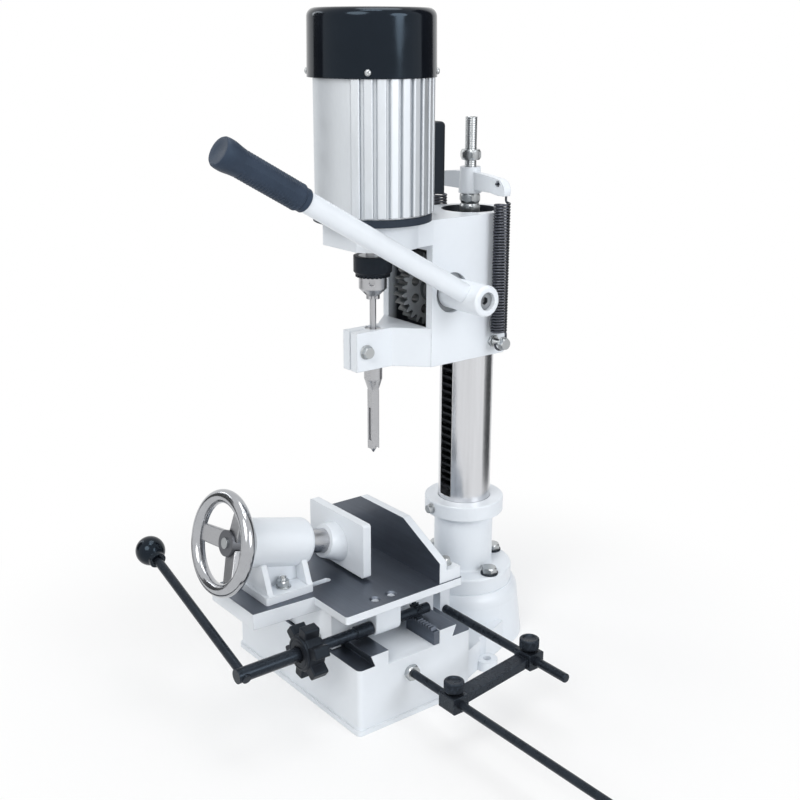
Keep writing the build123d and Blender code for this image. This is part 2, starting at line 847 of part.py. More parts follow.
with BuildPart() as capacitor_box:
    with BuildSketch(level(568)):
        with Locations((0, spindle_y + motor_r + 6.5)):
            RectangleRounded(42, 28, 6)
    extrude(amount=79)
    fillet(capacitor_box.edges().group_by(Axis.Z)[-1], 5)
    with BuildSketch(level(567)):
        with Locations((0, spindle_y)):
            Circle(motor_r + bolt_gap)
    extrude(amount=90, mode=Mode.SUBTRACT)
write(capacitor_box, "capacitor_box")

with BuildPart() as mortise_chisel:
    with BuildSketch(level(chisel_bush_low)):
        with Locations((0, spindle_y)):
            Circle(chisel_bush_r)
    extrude(amount=head_low - chisel_bush_low)
    with BuildSketch(level(head_low)):
        with Locations((0, spindle_y)):
            Circle(chisel_shank_r)
    extrude(amount=arm_top - 1 - head_low)
    with BuildSketch(level(chisel_bush_low)):
        with Locations((0, spindle_y)):
            Circle(chisel_bush_r)
    with BuildSketch(level(chisel_square_top)):
        with Locations((0, spindle_y)):
            RectangleRounded(chisel_side, chisel_side, 1.2)
    loft()
    with BuildSketch(level(chisel_low)):
        with Locations((0, spindle_y)):
            Rectangle(chisel_side, chisel_side)
    extrude(amount=chisel_square_top - chisel_low)
    with BuildSketch(level(chisel_low)):
        with Locations((0, spindle_y)):
            Circle(auger_r + 0.35)
    extrude(amount=arm_top, mode=Mode.SUBTRACT)
    with BuildSketch(side(0)):
        with Locations((spindle_y - chisel_side / 2, chisel_low + 32)):
            SlotOverall(40, 5, rotation=90)
    extrude(amount=2.5, both=True, mode=Mode.SUBTRACT)
    with BuildSketch(side(-chisel_side)):
        Polygon(
            (spindle_y - chisel_side, chisel_low - 1),
            (spindle_y + chisel_side, chisel_low - 1),
            (spindle_y, chisel_low + 5),
            align=None,
        )
    extrude(amount=2 * chisel_side, mode=Mode.SUBTRACT)
write(mortise_chisel, "mortise_chisel")

# ================================================================ spindle
with BuildPart() as motor_shaft:
    with BuildSketch(level(chuck_body_low + 8)):
        with Locations((0, spindle_y)):
            Circle(motor_shaft_r)
    extrude(amount=cap_top - 22 - chuck_body_low - 8)
write(motor_shaft, "motor_shaft")

with BuildPart() as rotor_core:
    with BuildSketch(level(stator_low)):
        with Locations((0, spindle_y)):
            Circle(33.8)
            Circle(motor_shaft_r, mode=Mode.SUBTRACT)
    extrude(amount=stator_high - stator_low)
write(rotor_core, "rotor_core")

with BuildPart() as cooling_fan:
    with BuildSketch(level(cap_top - 50)):
        with Locations((0, spindle_y)):
            Circle(50)
            Circle(motor_shaft_r, mode=Mode.SUBTRACT)
    extrude(amount=2.5)
    with BuildSketch(level(cap_top - 48)):
        with Locations((0, spindle_y)):
            Circle(14)
            Circle(motor_shaft_r, mode=Mode.SUBTRACT)
            with PolarLocations(32, 8):
                Rectangle(34, 2.2)
    extrude(amount=20)
write(cooling_fan, "cooling_fan")

with BuildPart() as chuck_sleeve:
    with BuildSketch(level(sleeve_chuck_low)):
        with Locations((0, spindle_y)):
            Circle(sleeve_chuck_r)
    extrude(amount=chuck_top - sleeve_chuck_low)
    chamfer(chuck_sleeve.edges().group_by(Axis.Z)[0], 1.8)
    with BuildSketch(level(chuck_ring_low)):
        with Locations((0, spindle_y)):
            Circle(sleeve_chuck_r - 2.2)
    extrude(amount=sleeve_chuck_low - chuck_ring_low)
    ring_teeth = 24
    with BuildSketch(level(chuck_ring_low)):
        with Locations((0, spindle_y)):
            with PolarLocations(sleeve_chuck_r - 2.5, ring_teeth):
                Rectangle(5, 2.4)
    extrude(amount=2.6, mode=Mode.SUBTRACT)
    with BuildSketch(level(chuck_ring_low)):
        with Locations((0, spindle_y)):
            Circle(chuck_body_r)
    extrude(amount=chuck_top - chuck_ring_low, mode=Mode.SUBTRACT)
write(chuck_sleeve, "chuck_sleeve")

with BuildPart() as chuck_body:
    with BuildSketch(Plane.XZ):
        Polygon(
            (0, chuck_nose_low),
            (chuck_nose_r, chuck_nose_low),
            (chuck_body_r, chuck_body_low),
            (chuck_body_r, chuck_top),
            (0, chuck_top),
            align=None,
        )
    revolve(axis=Axis.Z)
    for turn in (0, 120, 240):
        with BuildSketch(level(chuck_nose_low - 1)):
            with PolarLocations(6, 1, start_angle=turn + 30):
                Rectangle(14, 5.2)
        extrude(amount=14, mode=Mode.SUBTRACT)
    with BuildSketch(level(chuck_body_low + 6)):
        Circle(motor_shaft_r)
    extrude(amount=chuck_top, mode=Mode.SUBTRACT)
    with BuildSketch(level(chuck_nose_low - 1)):
        Circle(auger_r + 0.05)
    extrude(amount=chuck_top, mode=Mode.SUBTRACT)
    for turn in (-40, 80, 200):
        out = (cos(radians(turn)), sin(radians(turn)), 0)
        hole = Plane(origin=(out[0] * 11, out[1] * 11, chuck_ring_low - 5.5), z_dir=out)
        rods([hole], 3.2, 10, Mode.SUBTRACT)
chuck_body.part.position = (0, spindle_y, 0)
write(chuck_body, "chuck_body")

with BuildPart() as chuck_jaws:
    for turn in (0, 120, 240):
        with BuildSketch(level(chuck_nose_low - 4)):
            with PolarLocations(5.6, 1, start_angle=turn + 30):
                Rectangle(3.6, 4.8)
        extrude(amount=16)
chuck_jaws.part.position = (0, spindle_y, 0)
write(chuck_jaws, "chuck_jaws")

with BuildPart() as auger_bit:
    with BuildSketch(level(chisel_low + 2)):
        with Locations((0, spindle_y)):
            Circle(auger_r)
    extrude(amount=chuck_body_low + 5 - chisel_low - 2)
    with BuildSketch(level(chisel_low + 2)):
        with Locations((0, spindle_y)):
            Circle(auger_r)
    extrude(amount=-5, taper=30)
write(auger_bit, "auger_bit")

# ================================================================ lever
lever_turn = radians(lever_angle)
lever_out = (0, -cos(lever_turn), sin(lever_turn))


def along_lever(distance):
    """Plane square to the lever's rod at a distance from its pivot."""
    origin = (lever_x, gear_y + lever_out[1] * distance, gear_z + lever_out[2] * distance)
    return Plane(origin=origin, x_dir=(1, 0, 0), z_dir=lever_out)


with BuildPart() as lever_shaft:
    rods([Plane(origin=(-plate_out - 4, gear_y, gear_z), z_dir=(1, 0, 0))], lever_shaft_r, plate_out + 4 + boss_out - 12)
    rods([Plane(origin=(-plate_out - 4, gear_y, gear_z), z_dir=(1, 0, 0))], lever_shaft_r + 4, 3.6)
write(lever_shaft, "lever_shaft")

with BuildPart() as drive_gear:
    with BuildSketch(Plane(origin=(-gear_half_t, gear_y, gear_z), x_dir=(0, 1, 0), z_dir=(1, 0, 0))):
        add(gear_outline(gear_module, gear_teeth))
        with PolarLocations(gear_hole_circle_r, 8, start_angle=22.5):
            Circle(gear_hole_r, mode=Mode.SUBTRACT)
    extrude(amount=2 * gear_half_t)
    rods([Plane(origin=(-gear_hub_half, gear_y, gear_z), z_dir=(1, 0, 0))], gear_hub_r + 4, 2 * gear_hub_half)
    rods([Plane(origin=(-gear_hub_half, gear_y, gear_z), z_dir=(1, 0, 0))], lever_shaft_r, 2 * gear_hub_half, Mode.SUBTRACT)
write(drive_gear, "drive_gear")

with BuildPart() as lever_arm:
    rods([Plane(origin=(boss_in, gear_y, gear_z), z_dir=(1, 0, 0))], boss_r, boss_out - boss_in)
    fillet(lever_arm.edges().group_by(Axis.X)[-1], 3)
    with BuildSketch(along_lever(0)):
        Circle(lever_rod_root_r)
    with BuildSketch(along_lever(grip_start)):
        Circle(lever_rod_r)
    loft()
    with BuildSketch(along_lever(grip_start)):
        Circle(lever_rod_r - 3)
    extrude(amount=grip_end - grip_start - 8)
    rods([Plane(origin=(boss_in, gear_y, gear_z), z_dir=(1, 0, 0))], lever_shaft_r, boss_out - 12 - boss_in, Mode.SUBTRACT)
    rods([Plane(origin=(boss_out - 12, gear_y, gear_z), z_dir=(1, 0, 0))], 10.2, 14, Mode.SUBTRACT)
write(lever_arm, "lever_arm")

with BuildPart() as lever_grip:
    for start, end, start_r, end_r in (
        (grip_start, grip_start + 7, grip_collar_r, grip_collar_r),
        (grip_start + 7, grip_end - 26, grip_r, grip_r),
        (grip_end - 26, grip_end - 12, grip_r, grip_flare_r),
        (grip_end - 12, grip_end, grip_flare_r, grip_flare_r - 0.4),
    ):
        with BuildSketch(along_lever(start)):
            Circle(start_r)
        with BuildSketch(along_lever(end)):
            Circle(end_r)
        loft()
    fillet(lever_grip.edges().sort_by(Axis.Y)[0], 4)
    with BuildSketch(along_lever(grip_start)):
        Circle(lever_rod_r - 3)
    extrude(amount=grip_end - grip_start - 8, mode=Mode.SUBTRACT)
write(lever_grip, "lever_grip")

with BuildPart() as lever_screw:
    screw_foot = Plane(origin=(boss_out - 12, gear_y, gear_z), z_dir=(1, 0, 0))
    rods([screw_foot], 9.6, 7)
    with BuildSketch(screw_foot.offset(7)):
        RegularPolygon(4, 6, major_radius=False)
    extrude(amount=-5, mode=Mode.SUBTRACT)
write(lever_screw, "lever_screw")

# ================================================================ table
table_low = table_top - table_t
stop_holes = [(way * (table_half - stop_hole_in), y) for way in (1, -1) for y in (-211, -189)]
saddle_ceiling = way_top
flank = (way_half_top - way_half_foot) / (way_top - box_top)
saddle_half_low = way_half_top - flank * (way_top - saddle_low)

with BuildPart() as table_casting:
    with BuildSketch(level(table_low)):
        with Locations((0, (table_front + table_rear) / 2)):
            RectangleRounded(2 * table_half, table_rear - table_front, 3)
    extrude(amount=table_t)
    with BuildSketch(level(table_top - tongue_t)):
        Polygon(
            (tongue_half_front, tongue_front),
            (tongue_half_rear, table_front + 1),
            (tongue_half_rear, saddle_front + 4),
            (-tongue_half_rear, saddle_front + 4),
            (-tongue_half_rear, table_front + 1),
            (-tongue_half_front, tongue_front),
            align=None,
        )
    extrude(amount=tongue_t)
    with BuildSketch(level(saddle_low)):
        with Locations(((saddle_left + saddle_right) / 2, (saddle_front + saddle_rear) / 2)):
            Rectangle(saddle_right - saddle_left, saddle_rear - saddle_front)
    extrude(amount=table_low - saddle_low)
    with BuildSketch(side(saddle_left - 1)):
        Polygon(
            (way_mid - saddle_half_low - gib_t - slide_gap, saddle_low - 1),
            (way_mid - way_half_top - gib_t - slide_gap, saddle_ceiling),
            (way_mid + way_half_top + slide_gap, saddle_ceiling),
            (way_mid + saddle_half_low + slide_gap, saddle_low - 1),
            align=None,
        )
    extrude(amount=saddle_right - saddle_left + 2, mode=Mode.SUBTRACT)
    with BuildSketch(level(saddle_ceiling)):
        with Locations(((saddle_left + saddle_right) / 2, way_mid)):
            Rectangle(saddle_right - saddle_left - 24, 2 * trough_half)
    extrude(amount=table_low - saddle_ceiling, mode=Mode.SUBTRACT)
    with BuildSketch(level(saddle_ceiling)):
        with Locations((saddle_right, (feed_pinion_front - 0.6 + feed_rack_rear) / 2)):
            Rectangle(26, feed_rack_rear - feed_pinion_front + 0.6)
    extrude(amount=feed_rack_z + feed_module + 1 - saddle_ceiling, mode=Mode.SUBTRACT)
    with BuildSketch(level(table_top)):
        with Locations((t_slot_x, (t_slot_front + t_slot_rear) / 2), (-t_slot_x, (t_slot_front + t_slot_rear) / 2)):
            SlotOverall(t_slot_rear - t_slot_front, 2 * t_slot_half, rotation=90)
    extrude(amount=-tongue_t, mode=Mode.SUBTRACT)
    with Locations(*[(x, y, table_top) for x, y in stop_holes]):
        CounterSinkHole(stop_hole_r, stop_sink_r, depth=stop_hole_depth, counter_sink_angle=90)
    with BuildSketch(level(table_top)):
        with Locations((fence_bolt_x, fence_bolt_y), (-fence_bolt_x, fence_bolt_y)):
            Circle(3 + running_fit)
    extrude(amount=-table_t, mode=Mode.SUBTRACT)
    gib_screw_planes = []
    for x in (saddle_left + 25, (saddle_left + saddle_right) / 2, saddle_right - 25):
        gib_screw_planes.append(Plane(origin=(x, saddle_front, (saddle_low + way_top) / 2), z_dir=(0, 1, 0)))
    rods(gib_screw_planes, 2.5 + running_fit, 12, Mode.SUBTRACT)
write(table_casting, "table_casting")

with BuildPart() as gib_strip:
    with BuildSketch(side(saddle_left + 2)):
        gib_top = way_top - 0.5
        gib_low = saddle_low + 0.5
        top_half = way_half_top - flank * (way_top - gib_top)
        low_half = way_half_top - flank * (way_top - gib_low)
        Polygon(
            (way_mid - top_half - gib_t, gib_top),
            (way_mid - top_half - slide_gap, gib_top),
            (way_mid - low_half - slide_gap, gib_low),
            (way_mid - low_half - gib_t, gib_low),
            align=None,
        )
    extrude(amount=saddle_right - saddle_left - 4)
write(gib_strip, "gib_strip")

with BuildPart() as gib_screws:
    gib_screw_length = way_mid - (top_half + low_half) / 2 - gib_t - saddle_front - 0.8
    rods(gib_screw_planes, 2.5, gib_screw_length)
    for place in gib_screw_planes:
        rods([place.offset(-4)], 2.5, 4)
        hex_solids([place.offset(-3)], 8, 3)
write(gib_screws, "gib_screws")

with BuildPart() as fence:
    with BuildSketch(front(fence_front + fence_t)):
        Polygon(
            (-fence_half, table_top),
            (fence_half, table_top),
            (fence_half, fence_shoulder),
            (fence_half_top, fence_top),
            (-fence_half_top, fence_top),
            (-fence_half, fence_shoulder),
            align=None,
        )
    extrude(amount=fence_t)
    fence_rear = fence_front + fence_t
    with BuildSketch(level(table_top)):
        with Locations((0, (fence_rear + fence_foot_rear) / 2 - 0.5)):
            Rectangle(2 * fence_half, fence_foot_rear - fence_rear + 1)
    extrude(amount=fence_foot_t)
    for x in (-45, 0, 45):
        with BuildSketch(side(x - 4)):
            Polygon(
                (fence_rear - 1, table_top + fence_foot_t - 1),
                (fence_foot_rear - 2, table_top + fence_foot_t - 1),
                (fence_rear - 1, fence_top - 12),
                align=None,
            )
        extrude(amount=8)
    with BuildSketch(level(table_top)):
        with Locations((fence_bolt_x, fence_bolt_y), (-fence_bolt_x, fence_bolt_y)):
            Circle(3 + bolt_gap)
    extrude(amount=fence_foot_t, mode=Mode.SUBTRACT)
write(fence, "fence")

with BuildPart() as fence_bolts:
    bolt_places = [(fence_bolt_x, fence_bolt_y), (-fence_bolt_x, fence_bolt_y)]
    with BuildSketch(level(table_top + fence_foot_t)):
        with Locations(*bolt_places):
            Circle(7.5)
    extrude(amount=fence_washer_t)
    with BuildSketch(level(table_top + fence_foot_t + fence_washer_t)):
        with Locations(*bolt_places):
            RegularPolygon(5.5, 6, major_radius=False)
    extrude(amount=6.5)
    with BuildSketch(level(table_top + fence_foot_t)):
        with Locations(*bolt_places):
            Circle(3)
    extrude(amount=-(fence_foot_t + table_t))
write(fence_bolts, "fence_bolts")

with BuildPart() as feed_bracket:
    with BuildSketch(front(feed_block_rear)):
        with Locations((feed_x, feed_z)):
            Circle(feed_block_half)
        with Locations((feed_x, (feed_z + table_low) / 2)):
            Rectangle(2 * feed_block_half, table_low - feed_z)
    extrude(amount=feed_block_rear - feed_block_front)
    fillet(feed_bracket.edges().filter_by(GeomType.CIRCLE), 1.5)
    rods([Plane(origin=(feed_x, feed_block_front - 1, feed_z), z_dir=(0, 1, 0))], feed_r + running_fit,
         feed_block_rear - feed_block_front + 2, Mode.SUBTRACT)
write(feed_bracket, "feed_bracket")

rod_bracket_left = short_rod_start - 4
rod_bracket_right = short_rod_start + 22
rod_bracket_rear = short_rod_y + 6.5

with BuildPart() as rod_bracket:
    with BuildSketch(side(rod_bracket_left)):
        Polygon(
            (saddle_rear, table_low),
            (saddle_rear, way_top + 12),
            (box_rear + 2, way_top + 4),
            (short_rod_y - 8.5, way_top + 1),
            (short_rod_y - 8.5, short_rod_z - 7.5),
            (rod_bracket_rear, short_rod_z - 7.5),
            (rod_bracket_rear, table_low - 14),
            (table_rear, table_low),
            align=None,
        )
    extrude(amount=rod_bracket_right - rod_bracket_left)
    rods([Plane(origin=(rod_bracket_left, short_rod_y, short_rod_z), z_dir=(1, 0, 0))], short_rod_r, 40, Mode.SUBTRACT)
write(rod_bracket, "rod_bracket")

with BuildPart() as short_stop_rod:
    rods([Plane(origin=(short_rod_start, short_rod_y, short_rod_z), z_dir=(1, 0, 0))], short_rod_r,
         short_rod_end - short_rod_start)
    fillet(short_stop_rod.edges().group_by(Axis.X)[-1], 1.5)
write(short_stop_rod, "short_stop_rod")

# ================================================================ table feed
with BuildPart() as feed_shaft:
    rods([Plane(origin=(feed_x, feed_front, feed_z), z_dir=(0, 1, 0))], feed_front_r, feed_sleeve_end - feed_front)
    rods([Plane(origin=(feed_x, feed_sleeve_end, feed_z), z_dir=(0, 1, 0))], feed_r, feed_rear - feed_sleeve_end)
    fillet(feed_shaft.edges().group_by(Axis.Y)[-1], 1.5)
    with BuildSketch(Plane(origin=(feed_x, feed_pinion_rear - 0.5, feed_z), x_dir=(0, 0, -1), z_dir=(0, -1, 0))):
        add(gear_outline(feed_module, feed_teeth))
    extrude(amount=feed_pinion_rear - feed_pinion_front - 1)
    rods([Plane(origin=(feed_x, feed_block_front - 22, feed_z), z_dir=(0, 1, 0))], feed_r + 1.6, 21)
    crank_turn = radians(crank_angle)
    crank_out = (cos(crank_turn), 0, sin(crank_turn))
    rods([Plane(origin=(feed_x - crank_out[0] * 9, crank_y, feed_z - crank_out[2] * 9), z_dir=crank_out)],
         crank_r, 20, Mode.SUBTRACT)
write(feed_shaft, "feed_shaft")

with BuildPart() as crank_arm:
    start = (feed_x - crank_out[0] * 8.5, crank_y, feed_z - crank_out[2] * 8.5)
    rods([Plane(origin=start, z_dir=crank_out)], crank_r, crank_reach + 8.5 - ball_r + 6)
write(crank_arm, "crank_arm")

ball_mid = (feed_x + crank_out[0] * crank_reach, crank_y, feed_z + crank_out[2] * crank_reach)
with BuildPart() as crank_ball:
    neck_r = 9.5
    neck_end = -(ball_r + 2.5)
    neck_meet = -sqrt(ball_r**2 - neck_r**2)
    half_turn = ball_r * sqrt(0.5)
    with BuildSketch(Plane(origin=ball_mid, x_dir=crank_out, z_dir=(0, -1, 0))):
        with BuildLine():
            Polyline((neck_end, crank_r), (neck_end, neck_r), (neck_meet, neck_r))
            ThreePointArc((neck_meet, neck_r), (0, ball_r), (half_turn, half_turn))
            ThreePointArc((half_turn, half_turn), (ball_r * cos(pi / 8), ball_r * sin(pi / 8)), (ball_r, 0))
            Polyline((ball_r, 0), (6 - ball_r, 0), (6 - ball_r, crank_r), (neck_end, crank_r))
        make_face()
    revolve(axis=Axis(ball_mid, crank_out))
write(crank_ball, "crank_ball")

with BuildPart() as star_knob:
    with BuildSketch(front(knob_front + knob_t)):
        with Locations((feed_x, feed_z)):
            Circle(knob_core_r)
            with PolarLocations(knob_r - 7, knob_lobes, start_angle=80):
                RectangleRounded(14, 13, 2.5)
    extrude(amount=knob_t)
    fillet(star_knob.edges().group_by(Axis.Y)[0], 1.5)
    rods([Plane(origin=(feed_x, knob_front + knob_t, feed_z), z_dir=(0, 1, 0))], 11, 8)
    rods([Plane(origin=(feed_x, knob_front - 1, feed_z), z_dir=(0, 1, 0))], feed_r + running_fit, 40, Mode.SUBTRACT)
write(star_knob, "star_knob")

# ================================================================ vise
with BuildPart() as vise_body:
    with BuildSketch(on_axis(barrel_start)):
        Circle(barrel_r)
    extrude(amount=barrel_end - barrel_start)
    fillet(vise_body.edges().sort_by(Axis.Y)[-1], 6)
    with BuildSketch(level(table_top)):
        with Locations((0, (vise_foot_front + vise_foot_rear) / 2)):
            RectangleRounded(2 * vise_foot_half, vise_foot_rear - vise_foot_front, 3)
    extrude(amount=vise_foot_t)
    with BuildSketch(side(-vise_web_half)):
        Polygon(
            (vise_foot_front + 4, table_top),
            (vise_foot_rear - 1, table_top),
            (vise_foot_rear - 1, jaw_z + 10),
            (vise_foot_front + 4, jaw_z + 25),
            align=None,
        )
    extrude(amount=2 * vise_web_half)
    for y in (vise_foot_rear, vise_foot_front + 11):
        with BuildSketch(front(y)):
            Polygon(
                (vise_foot_half - 1, table_top + vise_foot_t - 1),
                (vise_foot_half - 5, table_top + vise_foot_t + 3),
                (barrel_r - 6, jaw_z + 8),
                (-barrel_r + 6, jaw_z + 8),
                (-vise_foot_half + 5, table_top + vise_foot_t + 3),
                (-vise_foot_half + 1, table_top + vise_foot_t - 1),
                align=None,
            )
        extrude(amount=7)
    with BuildSketch(on_axis(barrel_start - 1)):
        Circle(screw_r + running_fit)
    extrude(amount=20, mode=Mode.SUBTRACT)
    with BuildSketch(on_axis(quill_start - quill_room)):
        Circle(quill_r + running_fit)
    extrude(amount=-quill_start, mode=Mode.SUBTRACT)
    with BuildSketch(level(table_top)):
        with Locations((t_slot_x, vise_bolt_y), (-t_slot_x, vise_bolt_y)):
            Circle(vise_bolt_r + bolt_gap)
    extrude(amount=vise_foot_t, mode=Mode.SUBTRACT)
    with BuildSketch(level(table_top + vise_foot_t)):
        with Locations((t_slot_x, vise_bolt_y), (-t_slot_x, vise_bolt_y)):
            Circle(9.4)
    extrude(amount=13, mode=Mode.SUBTRACT)
write(vise_body, "vise_body")

with BuildPart() as vise_bolts:
    nut_low = table_top + vise_foot_t
    for x in (t_slot_x, -t_slot_x):
        for z, across, thickness in ((nut_low + 1.6, 13, 7), (table_top - tongue_t - 6, 13, 5.8)):
            with BuildSketch(level(z)):
                with Locations((x, vise_bolt_y)):
                    RegularPolygon(across / 2, 6, major_radius=False)
            extrude(amount=thickness)
        for z, radius, thickness in ((nut_low, 8.6, 1.6), (table_top - tongue_t - 6, vise_bolt_r, tongue_t + 27)):
            with BuildSketch(level(z)):
                with Locations((x, vise_bolt_y)):
                    Circle(radius)
            extrude(amount=thickness)
write(vise_bolts, "vise_bolts")

with BuildPart() as vise_quill:
    with BuildSketch(on_axis(quill_start)):
        Circle(quill_r)
    extrude(amount=-quill_start - jaw_boss_length + 6)
    with BuildSketch(on_axis(quill_start)):
        Circle(screw_r + running_fit)
    extrude(amount=62, mode=Mode.SUBTRACT)
write(vise_quill, "vise_quill")

with BuildPart() as vise_jaw:
    with BuildSketch(front(jaw_y + jaw_t)):
        with Locations((0, (jaw_low + jaw_high) / 2)):
            RectangleRounded(2 * jaw_half, jaw_high - jaw_low, 3)
    extrude(amount=jaw_t)
    with BuildSketch(on_axis(-jaw_boss_length)):
        Circle(jaw_boss_front_r)
    with BuildSketch(on_axis(4)):
        Circle(jaw_boss_r)
    loft()
    with BuildSketch(front(jaw_y + jaw_t)):
        with Locations((0, (jaw_low + jaw_high) / 2)):
            Rectangle(2 * jaw_half, 2 * (jaw_high - jaw_low))
    extrude(amount=-40, mode=Mode.SUBTRACT)
    with BuildSketch(on_axis(-jaw_boss_length - 1)):
        Circle(quill_r)
    extrude(amount=7, mode=Mode.SUBTRACT)
write(vise_jaw, "vise_jaw")

with BuildPart() as vise_screw:
    with BuildSketch(on_axis(wheel_hub_start - 2)):
        Circle(screw_r)
    extrude(amount=screw_end - wheel_hub_start + 2)
write(vise_screw, "vise_screw")

with BuildPart() as handwheel:
    ring_plane = on_axis(wheel_mid)
    with BuildSketch(Plane(origin=ring_plane.origin, x_dir=(1, 0, 0), z_dir=ring_plane.y_dir)):
        with Locations((wheel_ring_r, 0)):
            Circle(wheel_tube_r)
    revolve(axis=Axis(ring_plane.origin, ring_plane.z_dir))
    with BuildSketch(on_axis(wheel_hub_start)):
        Circle(wheel_hub_r)
    extrude(amount=wheel_hub_end - wheel_hub_start)
    for i in range(wheel_spokes):
        turn = radians(wheel_turn + 360 / wheel_spokes * i)
        out = ring_plane.x_dir * cos(turn) + ring_plane.y_dir * sin(turn)
        back = ring_plane.z_dir
        inner = ring_plane.origin + out * (wheel_hub_r - 3) + back * 12
        outer = ring_plane.origin + out * wheel_ring_r + back * 1
        with BuildSketch(Plane(origin=inner, x_dir=back, z_dir=out)):
            RectangleRounded(8, spoke_width, 2)
        with BuildSketch(Plane(origin=outer, x_dir=back, z_dir=out)):
            RectangleRounded(7, spoke_width - 2, 2)
        loft()
    with BuildSketch(on_axis(wheel_hub_start - 1)):
        Circle(screw_r)
    extrude(amount=30, mode=Mode.SUBTRACT)
write(handwheel, "handwheel")

# ================================================================ stop bar
with BuildPart() as stop_bar:
    for y, z in ((long_rod_y, long_rod_z), (short_rod_y, short_rod_z)):
        with BuildSketch(side(stop_bar_x - stop_block_half)):
            with Locations((y, z)):
                RectangleRounded(2 * stop_block_y_half, 2 * stop_block_z_half, 1.5)
        extrude(amount=2 * stop_block_half)
    with BuildSketch(side(stop_bar_x - stop_web_half)):
        Polygon(
            (long_rod_y, long_rod_z - stop_web_t / 2),
            (short_rod_y, short_rod_z - stop_web_t / 2),
            (short_rod_y, short_rod_z + stop_web_t / 2),
            (long_rod_y, long_rod_z + stop_web_t / 2),
            align=None,
        )
    extrude(amount=2 * stop_web_half)
    for y, z, radius in ((long_rod_y, long_rod_z, rod_r), (short_rod_y, short_rod_z, short_rod_r)):
        rods([Plane(origin=(stop_bar_x - 20, y, z), z_dir=(1, 0, 0))], radius + running_fit, 40, Mode.SUBTRACT)
        with BuildSketch(level(z)):
            with Locations((stop_bar_x, y)):
                Circle(thumb_stem_r + running_fit)
        extrude(amount=stop_block_z_half + 1, mode=Mode.SUBTRACT)
write(stop_bar, "stop_bar")

for name, y, z, radius in (
    ("front_thumbscrew", long_rod_y, long_rod_z, rod_r),
    ("rear_thumbscrew", short_rod_y, short_rod_z, short_rod_r),
):
    head_z = z + stop_block_z_half + thumb_neck
    with BuildPart() as thumbscrew:
        with BuildSketch(level(z + radius + bolt_gap)):
            with Locations((stop_bar_x, y)):
                Circle(thumb_stem_r)
        extrude(amount=head_z - z - radius)
        with BuildSketch(level(head_z - thumb_neck + 0.5)):
            with Locations((stop_bar_x, y)):
                Circle(6)
        with BuildSketch(level(head_z)):
            with Locations((stop_bar_x, y)):
                Circle(thumb_r - 1.5)
        loft()
        with BuildSketch(level(head_z)):
            with Locations((stop_bar_x, y)):
                Circle(thumb_r)
        extrude(amount=thumb_t)
        chamfer(thumbscrew.edges().group_by(Axis.Z)[-1], 0.8)
        with BuildSketch(level(head_z + thumb_t)):
            with Locations((stop_bar_x, y)):
                Circle(thumb_r - 4)
        extrude(amount=-1.5, mode=Mode.SUBTRACT)
    write(thumbscrew, name)

# ================================================================ return springs
spring_top_z = spring_coil_low + spring_turns * spring_pitch
hook_top_z = hub_high - hook_drop
eye_bend_r = spring_mean_r - arm_half_t


def coil_point(turns):
    """Point and unit tangent on the coil's middle line, about the origin."""
    angle = 2 * pi * turns - pi / 2
    rise = spring_pitch / (2 * pi)
    length = sqrt(spring_mean_r**2 + rise**2)
    point = Vector(spring_mean_r * cos(angle), spring_mean_r * sin(angle), turns * spring_pitch)
    tangent = Vector(-spring_mean_r * sin(angle), spring_mean_r * cos(angle), rise) / length
    return point, tangent


def biarc(start, start_way, end, end_way):
    """Two arcs, tangent to each other, that join two points with given directions."""
    span = end - start
    ways = start_way + end_way
    spare = 4 - ways.dot(ways)
    reach = (sqrt(span.dot(ways) ** 2 + spare * span.dot(span)) - span.dot(ways)) / spare
    first = start + start_way * reach
    second = end - end_way * reach
    middle = (first + second) / 2
    TangentArc(start, middle, tangent=start_way)
    TangentArc(middle, end, tangent=second - first)


def least_gap(points, wire_d, skip):
    """Smallest distance between the wire's surfaces, leaving out neighbours along it."""
    best = 1e9
    for i in range(0, len(points), 2):
        for j in range(i + skip, min(len(points), i + 12 * skip)):
            best = min(best, (points[i] - points[j]).length)
    return best - wire_d


with BuildPart() as return_springs:
    axis_low = Vector(-spring_x, 0, spring_coil_low)
    low_point, low_way = coil_point(0)
    low_point = low_point + axis_low
    high_point, high_way = coil_point(spring_turns)
    high_point = high_point + axis_low
    low_bend = low_point + Vector(-hook_bend_r, 0, -hook_bend_r)
    high_bend = high_point + Vector(hook_bend_r, 0, hook_bend_r)
    low_hook = Vector(low_bend.X, low_bend.Y, spring_bolt_z)
    high_hook = Vector(high_bend.X, high_bend.Y, hook_top_z - eye_bend_r)
    eye_entry = Vector(high_bend.X, -arm_half_t, hook_top_z)
    with BuildLine() as wire:
        ThreePointArc(
            (low_hook.X, spring_mean_r, spring_bolt_z),
            (low_hook.X, 0, spring_bolt_z - spring_mean_r),
            low_hook,
        )
        Line(low_hook, low_bend)
        TangentArc(low_bend, low_point, tangent=(0, 0, 1))
        for i in range(2 * spring_turns):
            start, start_way = coil_point(i / 2)
            end, end_way = coil_point((i + 1) / 2)
            biarc(start + axis_low, start_way, end + axis_low, end_way)
        TangentArc(high_point, high_bend, tangent=high_way)
        Line(high_bend, high_hook)
        TangentArc(high_hook, eye_entry, tangent=(0, 0, 1))
        Line(eye_entry, (high_bend.X, arm_half_t + 3, hook_top_z))
    path = wire.wire()
    with BuildSketch(Plane(origin=path @ 0, z_dir=path % 0)):
        Circle(wire_r)
    sweep(path=path)
    add(return_springs.part.rotate(Axis.Z, 180))
    coil_points = [coil_point(i / 24)[0] for i in range(24 * 4)]
    print("spring gap to itself", round(least_gap(coil_points, 2 * wire_r, 12), 3), "over 0.4")
write(return_springs, "return_springs")
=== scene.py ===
import json
from math import cos, pi, radians, sin

